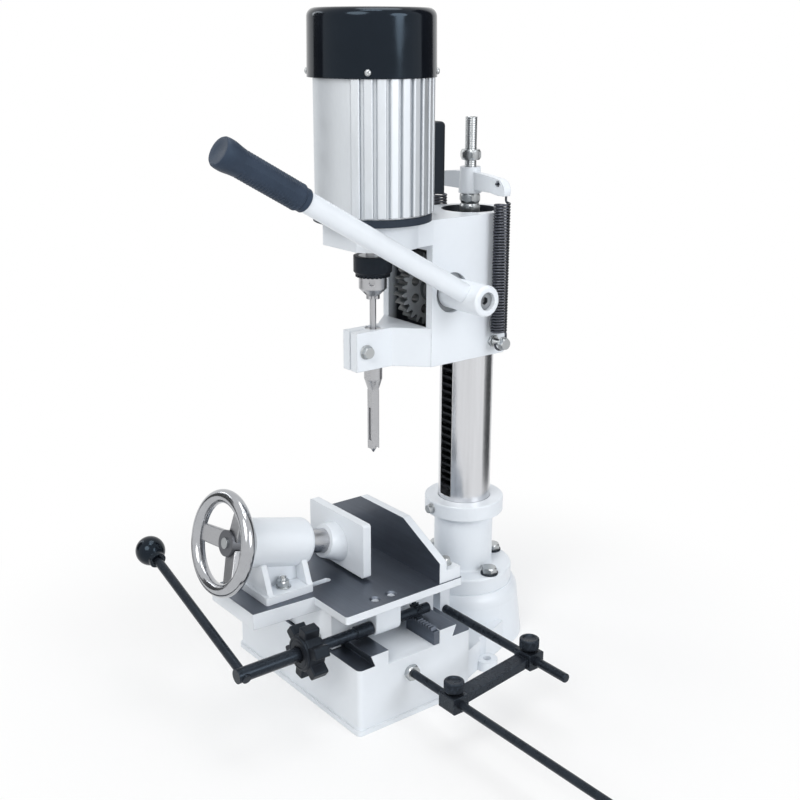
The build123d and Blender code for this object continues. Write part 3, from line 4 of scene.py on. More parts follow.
import bmesh
import bpy
from bpy.props import FloatProperty, FloatVectorProperty, IntProperty, PointerProperty
from mathutils import Matrix, Vector


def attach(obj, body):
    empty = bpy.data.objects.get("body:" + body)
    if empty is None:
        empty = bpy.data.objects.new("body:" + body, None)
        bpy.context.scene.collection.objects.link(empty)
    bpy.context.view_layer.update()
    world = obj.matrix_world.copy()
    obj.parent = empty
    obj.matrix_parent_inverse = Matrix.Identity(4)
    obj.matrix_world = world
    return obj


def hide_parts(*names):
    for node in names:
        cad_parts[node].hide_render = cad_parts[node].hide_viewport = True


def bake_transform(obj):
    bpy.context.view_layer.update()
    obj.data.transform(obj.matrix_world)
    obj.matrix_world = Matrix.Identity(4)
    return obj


bl_info = {
    "name": "Benchtop Mortiser",
    "version": (1, 0, 0),
    "blender": (4, 5, 0),
    "location": "3D View > Sidebar > Mortiser",
    "description": "Finishes and detailed pieces of a benchtop mortiser",
    "category": "Object",
}

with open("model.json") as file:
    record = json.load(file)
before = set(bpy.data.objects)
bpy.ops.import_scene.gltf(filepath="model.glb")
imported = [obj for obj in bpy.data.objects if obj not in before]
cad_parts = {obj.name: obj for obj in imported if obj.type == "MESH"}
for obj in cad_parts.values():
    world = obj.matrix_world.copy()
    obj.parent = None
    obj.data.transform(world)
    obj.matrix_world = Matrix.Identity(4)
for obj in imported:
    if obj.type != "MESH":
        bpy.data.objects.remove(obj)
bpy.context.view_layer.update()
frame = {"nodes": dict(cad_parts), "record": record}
NODES = frame["nodes"]

# Places and sizes shared by more than one piece, in metres
COLUMN_TOP = 0.522
COLUMN_BORE = 0.0336
SPRING_X = 0.056
SPRING_TURNS = 45
SPRING_PITCH = 0.00335
SPRING_LOW = 0.405
SPRING_BOLT_Z = 0.393
CROSSBAR_HOOK_Z = 0.5775
CROSSBAR_HALF = 0.005
HOOK_BEND = 0.0032
GEAR_Y = -0.063
GEAR_Z = 0.459
LEVER_X = 0.078
LEVER_ANGLE = radians(29.75)
SPINDLE_Y = -0.142
MOTOR_HIGH = 0.696
CAP_RADIUS = 0.0696
JAW_CENTRE = (0.0, -0.1968, 0.1735)
VISE_TILT = radians(14)
WHEEL_AXIS = (0.0, -cos(VISE_TILT), sin(VISE_TILT))
WHEEL_REACH = 0.1545
COLLAR_SCREW_TURN = radians(-95)
FEED_X = 0.089
FEED_Z = 0.103
FRONT_ROD_Y = -0.1858
REAR_ROD_Y = -0.0755
STOP_BAR_X = 0.202
FENCE_BOLT_Y = -0.110
VISE_BOLT_Y = -0.285
EIGHT_MM_FLATS = 0.013
EIGHT_MM_RADIUS = 0.004
EIGHT_MM_PITCH = 0.00125
EIGHT_MM_THREAD = 0.0005
UP = (0, 0, 1)
RIGHT = (1, 0, 0)
BACK = (0, 1, 0)
EVEN = (1.0, 1.0, 1.0)


# ---------------------------------------------------------------- settings
def length_setting(name, description, value, least):
    """A length that the panel shows."""
    return FloatProperty(
        name=name, description=description, default=value, min=least, subtype="DISTANCE", unit="LENGTH")


def count_setting(name, description, value, least, most):
    """A count that the panel shows."""
    return IntProperty(name=name, description=description, default=value, min=least, max=most)


def colour_setting(name, description, value):
    """A colour that the panel shows."""
    return FloatVectorProperty(
        name=name, description=description, subtype="COLOR", size=3, default=value, min=0.0, max=1.0)


class MortiserSizes(bpy.types.PropertyGroup):
    """Sizes of the detailed pieces."""

    wire_radius: length_setting("Spring wire radius", "Radius of the return springs' wire", 0.0014, 0.0005)
    coil_radius: length_setting("Spring coil radius", "Radius of the coil's middle line", 0.0084, 0.002)
    thread_depth: length_setting("Thread depth", "Depth of the cut threads", 0.0004, 0.0001)
    head_chamfer: FloatProperty(
        name="Bolt head chamfer", description="How far the corners of bolt heads and nuts are turned down",
        default=0.10, min=0.0, max=0.3, subtype="FACTOR")
    knurl_count: count_setting("Knurls", "Grooves round each thumbscrew's head", 54, 12, 120)
    grip_ribs: count_setting("Grip ribs", "Ribs along the lever's grip", 20, 4, 40)


class MortiserColours(bpy.types.PropertyGroup):
    """Colours of the finishes."""

    paint: colour_setting("Casting paint", "Gloss paint on the castings", (0.80, 0.84, 0.885))
    machined: colour_setting("Machined iron", "Bare machined iron of table, fence and ways", (0.14, 0.16, 0.195))
    steel: colour_setting("Ground steel", "Column, chuck and chisel", (0.46, 0.465, 0.48))
    zinc: colour_setting("Zinc plate", "Bolts and nuts", (0.46, 0.48, 0.49))
    black_oxide: colour_setting("Black oxide", "Stop rods, stop bar and feed shaft", (0.010, 0.012, 0.016))
    chrome: colour_setting("Chrome", "Polished handwheel", (0.42, 0.43, 0.45))
    alloy: colour_setting("Motor alloy", "Silver motor body", (0.60, 0.63, 0.66))
    gloss_black: colour_setting("Gloss black", "Motor cap and ball", (0.004, 0.005, 0.008))
    grip: colour_setting("Grip", "Soft plastic of the lever's grip", (0.030, 0.042, 0.066))


# ---------------------------------------------------------------- nodes
def node(tree, kind, inputs=None, **settings):
    """A new node with its properties set; inputs gives sockets, by name or number, a value or a socket to follow."""
    made = tree.nodes.new(kind)
    for key, value in settings.items():
        setattr(made, key, value)
    for name, value in (inputs or {}).items():
        if hasattr(value, "links"):
            tree.links.new(value, made.inputs[name])
        else:
            made.inputs[name].default_value = value
    return made


def emptied(owner):
    """The emptied node tree of a material or a world."""
    owner.use_nodes = True
    owner.node_tree.nodes.clear()
    return owner.node_tree


def maths(tree, operation, *values, **settings):
    """Result of a calculation with numbers, each a value or a socket."""
    return node(tree, "ShaderNodeMath", dict(enumerate(values)), operation=operation, **settings).outputs[0]


def vector_maths(tree, operation, *values):
    """Result of a calculation with vectors, each a value or a socket."""
    made = node(tree, "ShaderNodeVectorMath", dict(enumerate(values)), operation=operation)
    return made.outputs["Value" if operation in ("DOT_PRODUCT", "LENGTH") else "Vector"]


def ramp(tree, value, start, stop, low=0.0, high=1.0, **settings):
    """Number that runs from low to high as the value runs from start to stop."""
    return node(tree, "ShaderNodeMapRange", {
        "Value": value, "From Min": start, "From Max": stop, "To Min": low, "To Max": high}, **settings).outputs[0]


def noise(tree, vector, scale, detail, rough):
    """Value of a noise texture."""
    return node(tree, "ShaderNodeTexNoise", {
        "Vector": vector, "Scale": scale, "Detail": detail, "Roughness": rough}).outputs["Fac"]


# ---------------------------------------------------------------- shared shader groups
def mottle(tree, given):
    """Soft cloudy value between Low and High."""
    cloud = noise(tree, given["Vector"], given["Scale"], 4.0, 0.6)
    return {"Value": ramp(tree, cloud, 0.3, 0.7, given["Low"], given["High"])}


def tool_marks(tree, given):
    """Fine lines left by a tool: noise squeezed along one direction."""
    squeezed = vector_maths(tree, "MULTIPLY", given["Vector"], given["Stretch"])
    return {"Value": noise(tree, squeezed, given["Scale"], 3.0, 0.7)}


def soft_edges(tree, given):
    """A normal that rounds sharp edges, and a mask of where it does so, broken up by noise."""
    rounded = node(tree, "ShaderNodeBevel", {"Radius": given["Radius"]}, samples=6).outputs["Normal"]
    face = node(tree, "ShaderNodeNewGeometry").outputs["True Normal"]
    worn = ramp(tree, vector_maths(tree, "DOT_PRODUCT", rounded, face), 0.985, 0.80)
    chips = ramp(tree, noise(tree, given["Vector"], 240.0, 4.0, 0.5), 0.45, 0.62)
    edge = maths(tree, "MULTIPLY", maths(tree, "MULTIPLY", worn, chips), given["Wear"], use_clamp=True)
    return {"Normal": rounded, "Edge": edge}


def faces_along(tree, given):
    """A mask that is 1 on faces that look along an axis and lie within a band of height."""
    face = node(tree, "ShaderNodeNewGeometry").outputs["True Normal"]
    height = node(tree, "ShaderNodeSeparateXYZ", {0: given["Vector"]}).outputs["Z"]
    level = maths(tree, "GREATER_THAN", vector_maths(tree, "DOT_PRODUCT", face, given["Axis"]), given["Steepest"])
    above = maths(tree, "GREATER_THAN", height, given["Lowest"])
    below = maths(tree, "LESS_THAN", height, given["Highest"])
    return {"Mask": maths(tree, "MULTIPLY", maths(tree, "MULTIPLY", above, below), level)}


def near_an_axis(tree, given):
    """A mask that is 1 within a distance of an axis."""
    offset = vector_maths(tree, "SUBTRACT", given["Vector"], given["Centre"])
    far = vector_maths(tree, "LENGTH", vector_maths(tree, "CROSS_PRODUCT", offset, given["Axis"]))
    return {"Mask": maths(tree, "LESS_THAN", far, given["Reach"])}


def inside_a_box(tree, given):
    """A mask that is 1 inside a box and fades out towards its sides."""
    away = vector_maths(tree, "ABSOLUTE", vector_maths(tree, "SUBTRACT", given["Vector"], given["Middle"]))
    beyond = node(tree, "ShaderNodeSeparateXYZ", {0: vector_maths(tree, "SUBTRACT", away, given["Half"])}).outputs
    nearest = maths(tree, "MAXIMUM", maths(tree, "MAXIMUM", beyond["X"], beyond["Y"]), beyond["Z"])
    return {"Mask": ramp(tree, nearest, given["Fade"], 0.0, 1.0, 0.0)}


ORIGIN = (0.0, 0.0, 0.0)
SHADER_GROUPS = {
    "Mottle": (mottle, {"Scale": 20.0, "Low": 0.0, "High": 1.0}, ("Value",)),
    "Tool marks": (tool_marks, {"Stretch": EVEN, "Scale": 300.0}, ("Value",)),
    "Soft edges": (soft_edges, {"Wear": 1.0, "Radius": 0.0014}, ("Normal", "Edge")),
    "Faces along": (faces_along, {"Axis": UP, "Lowest": 0.0, "Highest": 1.0, "Steepest": 0.9}, ("Mask",)),
    "Near an axis": (near_an_axis, {"Centre": ORIGIN, "Axis": UP, "Reach": 0.01}, ("Mask",)),
    "Inside a box": (inside_a_box, {"Middle": ORIGIN, "Half": EVEN, "Fade": -0.01}, ("Mask",)),
}
GROUPS = {}


def shader_group(name, build, inputs, outputs):
    """A group that starts from a place and the inputs' starting values; build makes its nodes and names its results."""
    group = bpy.data.node_groups.new(name, "ShaderNodeTree")
    for label, value in {"Vector": ORIGIN, **inputs}.items():
        kind = "NodeSocketFloat" if isinstance(value, float) else "NodeSocketVector"
        group.interface.new_socket(name=label, in_out="INPUT", socket_type=kind).default_value = value
    for label in outputs:
        kind = "NodeSocketVector" if label == "Normal" else "NodeSocketFloat"
        group.interface.new_socket(name=label, in_out="OUTPUT", socket_type=kind)
    node(group, "NodeGroupOutput", build(group, node(group, "NodeGroupInput").outputs))
    return group


class Finish:
    """One material's nodes, with short ways to add and join them."""

    def __init__(self, name, **shader):
        self.material = bpy.data.materials.new(name)
        self.tree = emptied(self.material)
        self.shader = node(self.tree, "ShaderNodeBsdfPrincipled", shader)
        node(self.tree, "ShaderNodeOutputMaterial", {"Surface": self.shader.outputs[0]})
        self.place = node(self.tree, "ShaderNodeTexCoord").outputs["Object"]

    def group(self, name, **values):
        """Outputs of a shared group."""
        return node(self.tree, "ShaderNodeGroup", {"Vector": self.place, **values}, node_tree=GROUPS[name]).outputs

    def value(self, name, **values):
        """First output of a shared group."""
        return self.group(name, **values)[0]

    def mix(self, mask, low, high):
        """Colour socket that runs from low to high as the mask rises."""
        low, high = (colour if hasattr(colour, "links") else (*colour, 1.0) for colour in (low, high))
        return node(self.tree, "ShaderNodeMix", {0: mask, 6: low, 7: high}, data_type="RGBA").outputs[2]

    def blend_value(self, mask, low, high):
        """Number socket that runs from low to high as the mask rises."""
        return ramp(self.tree, mask, 0.0, 1.0, low, high)

    def relief(self, height, depth, strength, **normal):
        """Normal of a height, over another Normal where one is given."""
        return node(self.tree, "ShaderNodeBump", {
            "Distance": depth, "Strength": strength, "Height": height, **normal}).outputs["Normal"]

    def set(self, **sockets):
        """Joins the shader's sockets and returns the material."""
        for name, value in sockets.items():
            self.tree.links.new(value, self.shader.inputs[name.replace("_", " ")])
        return self.material


def tint(colour, factor):
    """A colour made lighter or darker."""
    return tuple(min(1.0, part * factor) for part in colour)


# ---------------------------------------------------------------- finishes
def paint_finish(colours, name="Casting paint", bare=(), shaded_hollow=()):
    """Gloss paint over cast iron, greyer at its edges.

    bare lists machined faces as (axis, lowest, highest, steepest); the last argument is the (middle, half size) of a
    hollow that gets a painted shade, a dark mottled colour, which is painted into the column's bore as well.
    """
    made = Finish(name, **{"Coat Weight": 0.25, "Coat Roughness": 0.12, "Roughness": 0.36})
    edges = made.group("Soft edges", Wear=0.55)
    clouds = made.value("Mottle", Scale=14.0)
    paint = tuple(colours.paint)
    base = made.mix(clouds, tint(paint, 0.965), tint(paint, 1.02))
    base = made.mix(edges["Edge"], base, tint(paint, 0.72))
    rough = made.blend_value(clouds, 0.30, 0.44)
    normal = made.relief(made.value("Mottle", Scale=420.0), 0.00006, 0.5, Normal=edges["Normal"])
    # Painted shade: the hollow and the column's bore are darkened with a dark mottled colour, standing in for the shade
    # inside them.
    if shaded_hollow:
        hollow = made.value("Inside a box", Middle=shaded_hollow[0], Half=shaded_hollow[1], Fade=-0.008)
        bore = made.value("Near an axis", Reach=COLUMN_BORE)
        painted_hollow_shade = made.mix(clouds, (0.020, 0.024, 0.032), (0.060, 0.068, 0.085))
        base = made.mix(bore, made.mix(hollow, base, painted_hollow_shade), painted_hollow_shade)
    if not bare:
        return made.set(Base_Color=base, Roughness=rough, Normal=normal)
    mask = None
    for axis, lowest, highest, steepest in bare:
        found = made.value("Faces along", Axis=axis, Lowest=lowest, Highest=highest, Steepest=steepest)
        mask = found if mask is None else maths(made.tree, "MAXIMUM", mask, found)
    marks = made.value("Tool marks", Scale=240.0, Stretch=(0.05, 1.6, 1.0))
    iron = tuple(colours.machined)
    metal = made.mix(marks, tint(iron, 0.75), tint(iron, 1.25))
    metal = made.mix(made.value("Mottle", Scale=9.0, High=0.5), metal, tint(iron, 0.6))
    return made.set(
        Base_Color=made.mix(mask, base, metal), Normal=normal, Metallic=made.blend_value(mask, 0.0, 1.0),
        Roughness=made.blend_value(mask, rough, made.blend_value(marks, 0.36, 0.52)))


def metal_finish(name, colour, stretch, scale, rough, spread, wear=0.6, depth=0.00002, rounding=0.0012, painted_shade_above=None):
    """Bare or plated metal with tool marks, a cloudy stain and brighter edges.

    The last argument is the height above which faces that look up get a painted shade, a flat dark colour; it darkens
    the column's top.
    """
    made = Finish(name, Metallic=1.0, Roughness=0.3)
    edges = made.group("Soft edges", Wear=wear, Radius=rounding)
    marks = made.value("Tool marks", Scale=scale, Stretch=stretch)
    base = made.mix(marks, tint(colour, 1 - spread), tint(colour, 1 + spread))
    base = made.mix(edges["Edge"], base, tint(colour, 1.35))
    # Painted shade on the faces that look up above that height.
    if painted_shade_above:
        base = made.mix(made.value("Faces along", Lowest=painted_shade_above), base, (0.045, 0.05, 0.06))
    stained = made.blend_value(made.value("Mottle", Scale=35.0), made.blend_value(marks, *rough), rough[1])
    return made.set(
        Base_Color=base, Roughness=stained, Normal=made.relief(marks, depth, 0.6, Normal=edges["Normal"]))


def wheel_finish(colours):
    """Chromed rim, with satin spokes and a darker hub."""
    made = Finish("Wheel chrome", Metallic=1.0, Roughness=0.1)
    clouds = made.value("Mottle", Scale=60.0)
    marks = made.value("Tool marks", Scale=500.0)
    inner, hub = (made.value("Near an axis", Centre=JAW_CENTRE, Axis=WHEEL_AXIS, Reach=reach)
                  for reach in (0.0425, 0.0155))
    chrome = made.mix(clouds, tint(colours.chrome, 0.94), tint(colours.chrome, 1.06))
    satin = made.mix(marks, (0.34, 0.345, 0.36), (0.46, 0.465, 0.48))
    satin = made.mix(hub, satin, (0.16, 0.165, 0.18))
    return made.set(
        Base_Color=made.mix(inner, chrome, satin), Roughness=made.blend_value(inner, 0.15, 0.36),
        Normal=made.relief(made.blend_value(inner, 0.0, marks), 0.00003, 0.5))


def oxide_finish(name, colour):
    """Blackened steel, rubbed a little bright on its edges."""
    made = Finish(name, Metallic=0.0, Roughness=0.4,
                  **{"Specular IOR Level": 0.3, "Specular Tint": (0.62, 0.8, 1.0, 1.0)})
    edges = made.group("Soft edges", Wear=0.8)
    clouds = made.value("Mottle", Scale=70.0)
    base = made.mix(clouds, tint(colour, 0.8), tint(colour, 1.5))
    return made.set(
        Base_Color=made.mix(edges["Edge"], base, tint(colour, 6.0)), Roughness=made.blend_value(clouds, 0.20, 0.38),
        Normal=made.relief(made.value("Mottle", Scale=900.0), 0.00004, 0.5, Normal=edges["Normal"]),
        Metallic=made.blend_value(edges["Edge"], 0.0, 0.9))


def plastic_finish(name, colour, rough, grain=0.00005, gloss=0.25):
    """Moulded plastic or rubber with a fine grain."""
    made = Finish(name, Roughness=0.4, **{"Specular IOR Level": gloss, "Specular Tint": (0.6, 0.8, 1.0, 1.0)})
    edges = made.group("Soft edges", Wear=0.35)
    clouds = made.value("Mottle", Scale=30.0)
    base = made.mix(clouds, tint(colour, 0.85), tint(colour, 1.2))
    return made.set(
        Base_Color=made.mix(edges["Edge"], base, tint(colour, 2.2)), Roughness=made.blend_value(clouds, *rough),
        Normal=made.relief(made.value("Mottle", Scale=1100.0), grain, 0.4, Normal=edges["Normal"]))


def gear_finish():
    """Cut gear: faces that look along +X keep a lighter colour; teeth, holes and other faces get a painted shade."""
    made = Finish("Gear with painted shade", Roughness=0.4, **{"Specular IOR Level": 0.5})
    edges = made.group("Soft edges", Wear=0.4, Radius=0.0004)
    clouds = made.value("Mottle", Scale=60.0)
    # Painted shade: all faces but those looking along +X are darkened, as the tooth flanks and holes lie in shade.
    painted_shade = made.mix(clouds, (0.030, 0.036, 0.040), (0.060, 0.070, 0.075))
    plain = made.mix(clouds, (0.22, 0.235, 0.25), (0.30, 0.315, 0.33))
    base = made.mix(made.value("Faces along", Axis=RIGHT), painted_shade, plain)
    return made.set(
        Base_Color=made.mix(edges["Edge"], base, (0.40, 0.41, 0.42)), Normal=edges["Normal"],
        Roughness=made.blend_value(clouds, 0.28, 0.46))


def make_finishes(colours):
    """Every finish by name."""
    steel, iron, zinc, chrome, alloy, oxide, gloss, grip = (
        tuple(getattr(colours, name))
        for name in ("steel", "machined", "zinc", "chrome", "alloy", "black_oxide", "gloss_black", "grip"))
    return {
        "paint": paint_finish(colours),
        "base_paint": paint_finish(colours, "Base paint and ways", (
            (UP, 0.0925, 0.0935, 0.95), (UP, 0.0790, 0.0800, 0.95), ((0, 0, -1), 0.0794, 0.0931, 0.2))),
        "head_paint": paint_finish(colours, "Head paint and painted shade in gear room", (),
                                   ((0.0, -0.049, 0.4605), (0.0435, 0.039, 0.0565))),
        "table_paint": paint_finish(colours, "Table paint and top", ((UP, 0.1330, 0.1410, 0.5),)),
        "fence_paint": paint_finish(colours, "Fence paint and face", (((0, -1, 0), 0.10, 0.25, 0.95),)),
        "machined": metal_finish("Machined iron", iron, (0.06, 1.0, 1.6), 200.0, (0.24, 0.42), 0.22),
        "wheel": wheel_finish(colours),
        "column": metal_finish("Ground column", tint(steel, 1.45), (1.0, 1.0, 0.03), 150.0, (0.16, 0.26), 0.08,
                               depth=0.000003, painted_shade_above=COLUMN_TOP - 0.001),
        "steel": metal_finish("Turned steel", steel, (1.0, 1.0, 5.0), 300.0, (0.18, 0.34), 0.14),
        "zinc": metal_finish("Zinc plate", zinc, EVEN, 500.0, (0.20, 0.36), 0.10, 0.4, rounding=0.0004),
        "spring": metal_finish("Spring wire", (0.085, 0.09, 0.105), EVEN, 700.0, (0.25, 0.42), 0.15),
        "chrome": metal_finish("Chrome", chrome, EVEN, 60.0, (0.04, 0.12), 0.04, 0.2),
        "alloy": metal_finish("Motor alloy", alloy, (1.0, 1.0, 0.2), 420.0, (0.40, 0.56), 0.05),
        "oxide": oxide_finish("Black oxide", oxide),
        "gloss_black": plastic_finish("Gloss black", gloss, (0.08, 0.16), 0.00001, 0.3),
        "matte_black": plastic_finish("Matte black", (0.010, 0.011, 0.014), (0.38, 0.54)),
        "grip": plastic_finish("Grip plastic", grip, (0.42, 0.56), 0.0001),
        "rubber": plastic_finish("Gasket rubber", (0.026, 0.032, 0.044), (0.5, 0.7)),
        "rack": metal_finish("Oiled rack", (0.030, 0.032, 0.036), EVEN, 200.0, (0.20, 0.34), 0.15, 0.1),
        "gear": gear_finish(),
        "core": metal_finish("Core steel", (0.28, 0.26, 0.24), (1.0, 1.0, 30.0), 120.0, (0.4, 0.6), 0.3),
    }


FINISH_OF_SLOT = {
    "casting_paint": "paint", "machined_iron": "machined", "ground_steel": "steel", "zinc_plate": "zinc",
    "black_oxide": "oxide", "polished_chrome": "chrome", "motor_alloy": "alloy", "black_gloss": "gloss_black",
    "black_matte": "matte_black", "grip_plastic": "grip", "gasket_rubber": "rubber", "steel_core": "core",
}
FINISH_OF_NODE = {
    "base_casting": "base_paint", "head_casting": "head_paint", "table_casting": "table_paint",
    "fence": "fence_paint", "column": "column", "column_rack": "rack", "drive_gear": "gear", "handwheel": "wheel",
    "lever_screw": "gear", "lever_shaft": "rack",
}
FINISHES = {}


# ---------------------------------------------------------------- meshes
def linked_object(name, data):
    """An object of the data, linked to the scene."""
    made = bpy.data.objects.new(name, data)
    bpy.context.collection.objects.link(made)
    return made


def dress(piece, finish):
    """Leaves a piece with one finish."""
    piece.data.materials.clear()
    piece.data.materials.append(FINISHES[finish])


def mesh_object(name, mesh, finish, body, hides=()):
    """A finished piece on a body, standing for the CAD nodes it hides."""
    piece = linked_object(name, mesh)
    dress(piece, finish)
    if body:
        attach(piece, body)
    if hides:
        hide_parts(*hides)
    return piece


def smooth(mesh, angle):
    """Smooth shading, kept sharp where faces meet at more than the angle."""
    for face in mesh.polygons:
        face.use_smooth = True
    work = bmesh.new()
    work.from_mesh(mesh)
    for edge in work.edges:
        edge.smooth = len(edge.link_faces) == 2 and edge.calc_face_angle(pi) < radians(angle)
    work.to_mesh(mesh)
    work.free()


def to_mesh(work, name):
    """A mesh of the work, which is freed."""
    mesh = bpy.data.meshes.new(name)
    work.to_mesh(mesh)
    work.free()
    return mesh


def closed_mesh(work, name, angle):
    """A mesh of closed work, its faces turned outwards and smoothed up to an angle."""
    bmesh.ops.recalc_face_normals(work, faces=work.faces)
    mesh = to_mesh(work, name)
    smooth(mesh, angle)
    return mesh


def placed(axis, centre):
    """Matrix that moves the origin to a centre and turns +Z onto an axis."""
    turn = Vector(UP).rotation_difference(Vector(axis).normalized())
    return Matrix.Translation(Vector(centre)) @ turn.to_matrix().to_4x4()


def turned(name, profile, axis, centre, steps, grooves=0, relief=None):
    """Closed mesh of a profile turned about an axis; both ends lie on the axis.

    The profile's points are (radius, distance), or (radius, distance, depth) where grooves run lengthwise.
    relief gives a depth to cut from each turn and distance.
    """
    work = bmesh.new()
    place = placed(axis, centre)
    rings = []
    for radius, height, *depth in profile:
        if radius < 1e-7:
            rings.append([work.verts.new(place @ Vector((0, 0, height)))])
            continue
        ring = []
        for i in range(steps):
            turn = 2 * pi * i / steps
            reach = radius - (depth[0] * (0.5 + 0.5 * cos(grooves * turn)) if depth else 0.0)
            reach -= relief(turn, height) if relief else 0.0
            ring.append(work.verts.new(place @ Vector((reach * cos(turn), reach * sin(turn), height))))
        rings.append(ring)
    for low, high in zip(rings, rings[1:]):
        for i in range(steps):
            j = (i + 1) % steps
            corners = [low[i % len(low)], low[j % len(low)], high[j % len(high)], high[i % len(high)]]
            corners = list(dict.fromkeys(corners))
            if len(corners) > 2:
                work.faces.new(corners)
    return closed_mesh(work, name, 35)


def threaded(name, radius, depth, pitch, length, axis, centre):
    """A rod with a helical V thread along an axis from a point, its ends cut square."""
    work = bmesh.new()
    place = placed(axis, centre)
    steps = 32
    shape = (0.0, 0.5, 1.0, 0.5)
    rows = len(shape)
    count = int(length / pitch * rows) + 2 * rows
    columns = []
    for i in range(steps):
        turn = 2 * pi * i / steps
        column = []
        for j in range(count):
            height = min(max((j / rows + i / steps - 1) * pitch, 0.0), length)
            reach = radius - depth * shape[j % rows]
            column.append(work.verts.new(place @ Vector((reach * cos(turn), reach * sin(turn), height))))
        columns.append(column)
    for i in range(steps):
        shift = rows if i == steps - 1 else 0
        low, high = columns[i], columns[(i + 1) % steps]
        for j in range(count - 1 - shift):
            work.faces.new((low[j], high[j + shift], high[j + shift + 1], low[j + 1]))
    bmesh.ops.remove_doubles(work, verts=work.verts, dist=1e-6)
    loose = [vert for vert in work.verts if not vert.link_faces]
    bmesh.ops.delete(work, geom=loose, context="VERTS")
    bmesh.ops.holes_fill(work, edges=[edge for edge in work.edges if len(edge.link_faces) == 1])
    return closed_mesh(work, name, 50)


def joined(name, parts):
    """One mesh made of several, which are removed."""
    work = bmesh.new()
    for part in parts:
        work.from_mesh(part)
        bpy.data.meshes.remove(part)
    return to_mesh(work, name)


def disc(radius, thickness, axis, centre):
    """A washer or rod end: a short round bar with broken edges."""
    edge = 0.0004
    profile = ((0, 0), (radius - edge, 0), (radius, edge), (radius, thickness - edge), (radius - edge, thickness),
               (0, thickness))
    return turned("disc", profile, axis, centre, 40)


def hex_head_mesh(name, chamfer, both_ends):
    """Hexagon 1 across its flats and 1 high, with its top corners, or those of both ends, turned down."""
    work = bmesh.new()
    corner = 0.5 / cos(pi / 6)
    count = 72
    slope = 1.6 * chamfer
    rows = []
    foot = [(0.0, None), (slope, -1)] if both_ends else [(0.0, 0)]
    for level, sink in (*foot, (1.0 - slope, 1), (1.0, None)):
        row = []
        for i in range(count):
            turn = 2 * pi * i / count
            flat = 0.5 / cos((turn + pi / 6) % (pi / 3) - pi / 6)
            drop = (flat - 0.5) / (corner - 0.5) * chamfer
            reach, height = (0.485, level) if sink is None else (flat, level - sink * drop)
            row.append(work.verts.new((reach * cos(turn), reach * sin(turn), height)))
        rows.append(row)
    for low, high in zip(rows, rows[1:]):
        for i in range(count):
            j = (i + 1) % count
            work.faces.new((low[i], low[j], high[j], high[i]))
    work.faces.new(rows[0][::-1])
    work.faces.new(rows[-1])
    return closed_mesh(work, name, 25)


# ---------------------------------------------------------------- geometry node trees
def geometry_tree(name, inputs):
    """An empty geometry node tree with named inputs, as (tree, input node, output node)."""
    tree = bpy.data.node_groups.new(name, "GeometryNodeTree")
    tree.interface.new_socket(name="Geometry", in_out="INPUT", socket_type="NodeSocketGeometry")
    for label, kind, value in inputs:
        socket = tree.interface.new_socket(name=label, in_out="INPUT", socket_type=kind)
        if value is not None:
            socket.default_value = value
    tree.interface.new_socket(name="Geometry", in_out="OUTPUT", socket_type="NodeSocketGeometry")
    return tree, tree.nodes.new("NodeGroupInput"), tree.nodes.new("NodeGroupOutput")


def finish_tree(tree, start, end, made):
    """Ends a tree in Realize Instances and Set Material."""
    real = node(tree, "GeometryNodeRealizeInstances", {0: made})
    dressed = node(tree, "GeometryNodeSetMaterial", {
        "Geometry": real.outputs[0], "Material": start.outputs["Material"]})
    tree.links.new(dressed.outputs[0], end.inputs[0])
    return tree


def wire_tree():
    """Sweeps a round wire along the input curve."""
    tree, start, end = geometry_tree(
        "Round wire", [("Wire radius", "NodeSocketFloat", 0.001), ("Sides", "NodeSocketInt", 8),
                       ("Material", "NodeSocketMaterial", None)])
    ring = node(tree, "GeometryNodeCurvePrimitiveCircle", {
        "Radius": start.outputs["Wire radius"], "Resolution": start.outputs["Sides"]})
    sweep = node(tree, "GeometryNodeCurveToMesh", {
        "Curve": start.outputs["Geometry"], "Profile Curve": ring.outputs["Curve"], "Fill Caps": True})
    return finish_tree(tree, start, end, sweep.outputs["Mesh"])


def fastener_tree():
    """Sets a copy of one fastener on each input point, turned and sized by the points' attributes."""
    tree, start, end = geometry_tree(
        "Fasteners on points", [("Fastener", "NodeSocketObject", None), ("Material", "NodeSocketMaterial", None)])
    shape = node(tree, "GeometryNodeObjectInfo", {"Object": start.outputs["Fastener"]})
    axis, size = (
        node(tree, "GeometryNodeInputNamedAttribute", {"Name": name}, data_type="FLOAT_VECTOR").outputs["Attribute"]
        for name in ("axis", "size"))
    turn = node(tree, "FunctionNodeAlignRotationToVector", {"Vector": axis}, axis="Z")
    copies = node(tree, "GeometryNodeInstanceOnPoints", {
        "Points": start.outputs["Geometry"], "Instance": shape.outputs["Geometry"],
        "Rotation": turn.outputs["Rotation"], "Scale": size})
    return finish_tree(tree, start, end, copies.outputs["Instances"])


def run_tree(source, tree, values, name):
    """Runs a tree on an object and returns the result as a plain mesh; the source is removed."""
    modifier = source.modifiers.new("Build", "NODES")
    modifier.node_group = tree
    for item in tree.interface.items_tree:
        if item.item_type == "SOCKET" and item.in_out == "INPUT" and item.name in values:
            modifier[item.identifier] = values[item.name]
    bpy.context.view_layer.update()
    live = source.evaluated_get(bpy.context.evaluated_depsgraph_get())
    mesh = bpy.data.meshes.new_from_object(live)
    mesh.name = name
    bpy.data.objects.remove(source)
    return mesh


def path_object(points):
    """A curve object through points."""
    curve = bpy.data.curves.new("path", "CURVE")
    curve.dimensions = "3D"
    line = curve.splines.new("POLY")
    line.points.add(len(points) - 1)
    for point, place in zip(line.points, points):
        point.co = (*place, 1.0)
    return linked_object("path", curve)


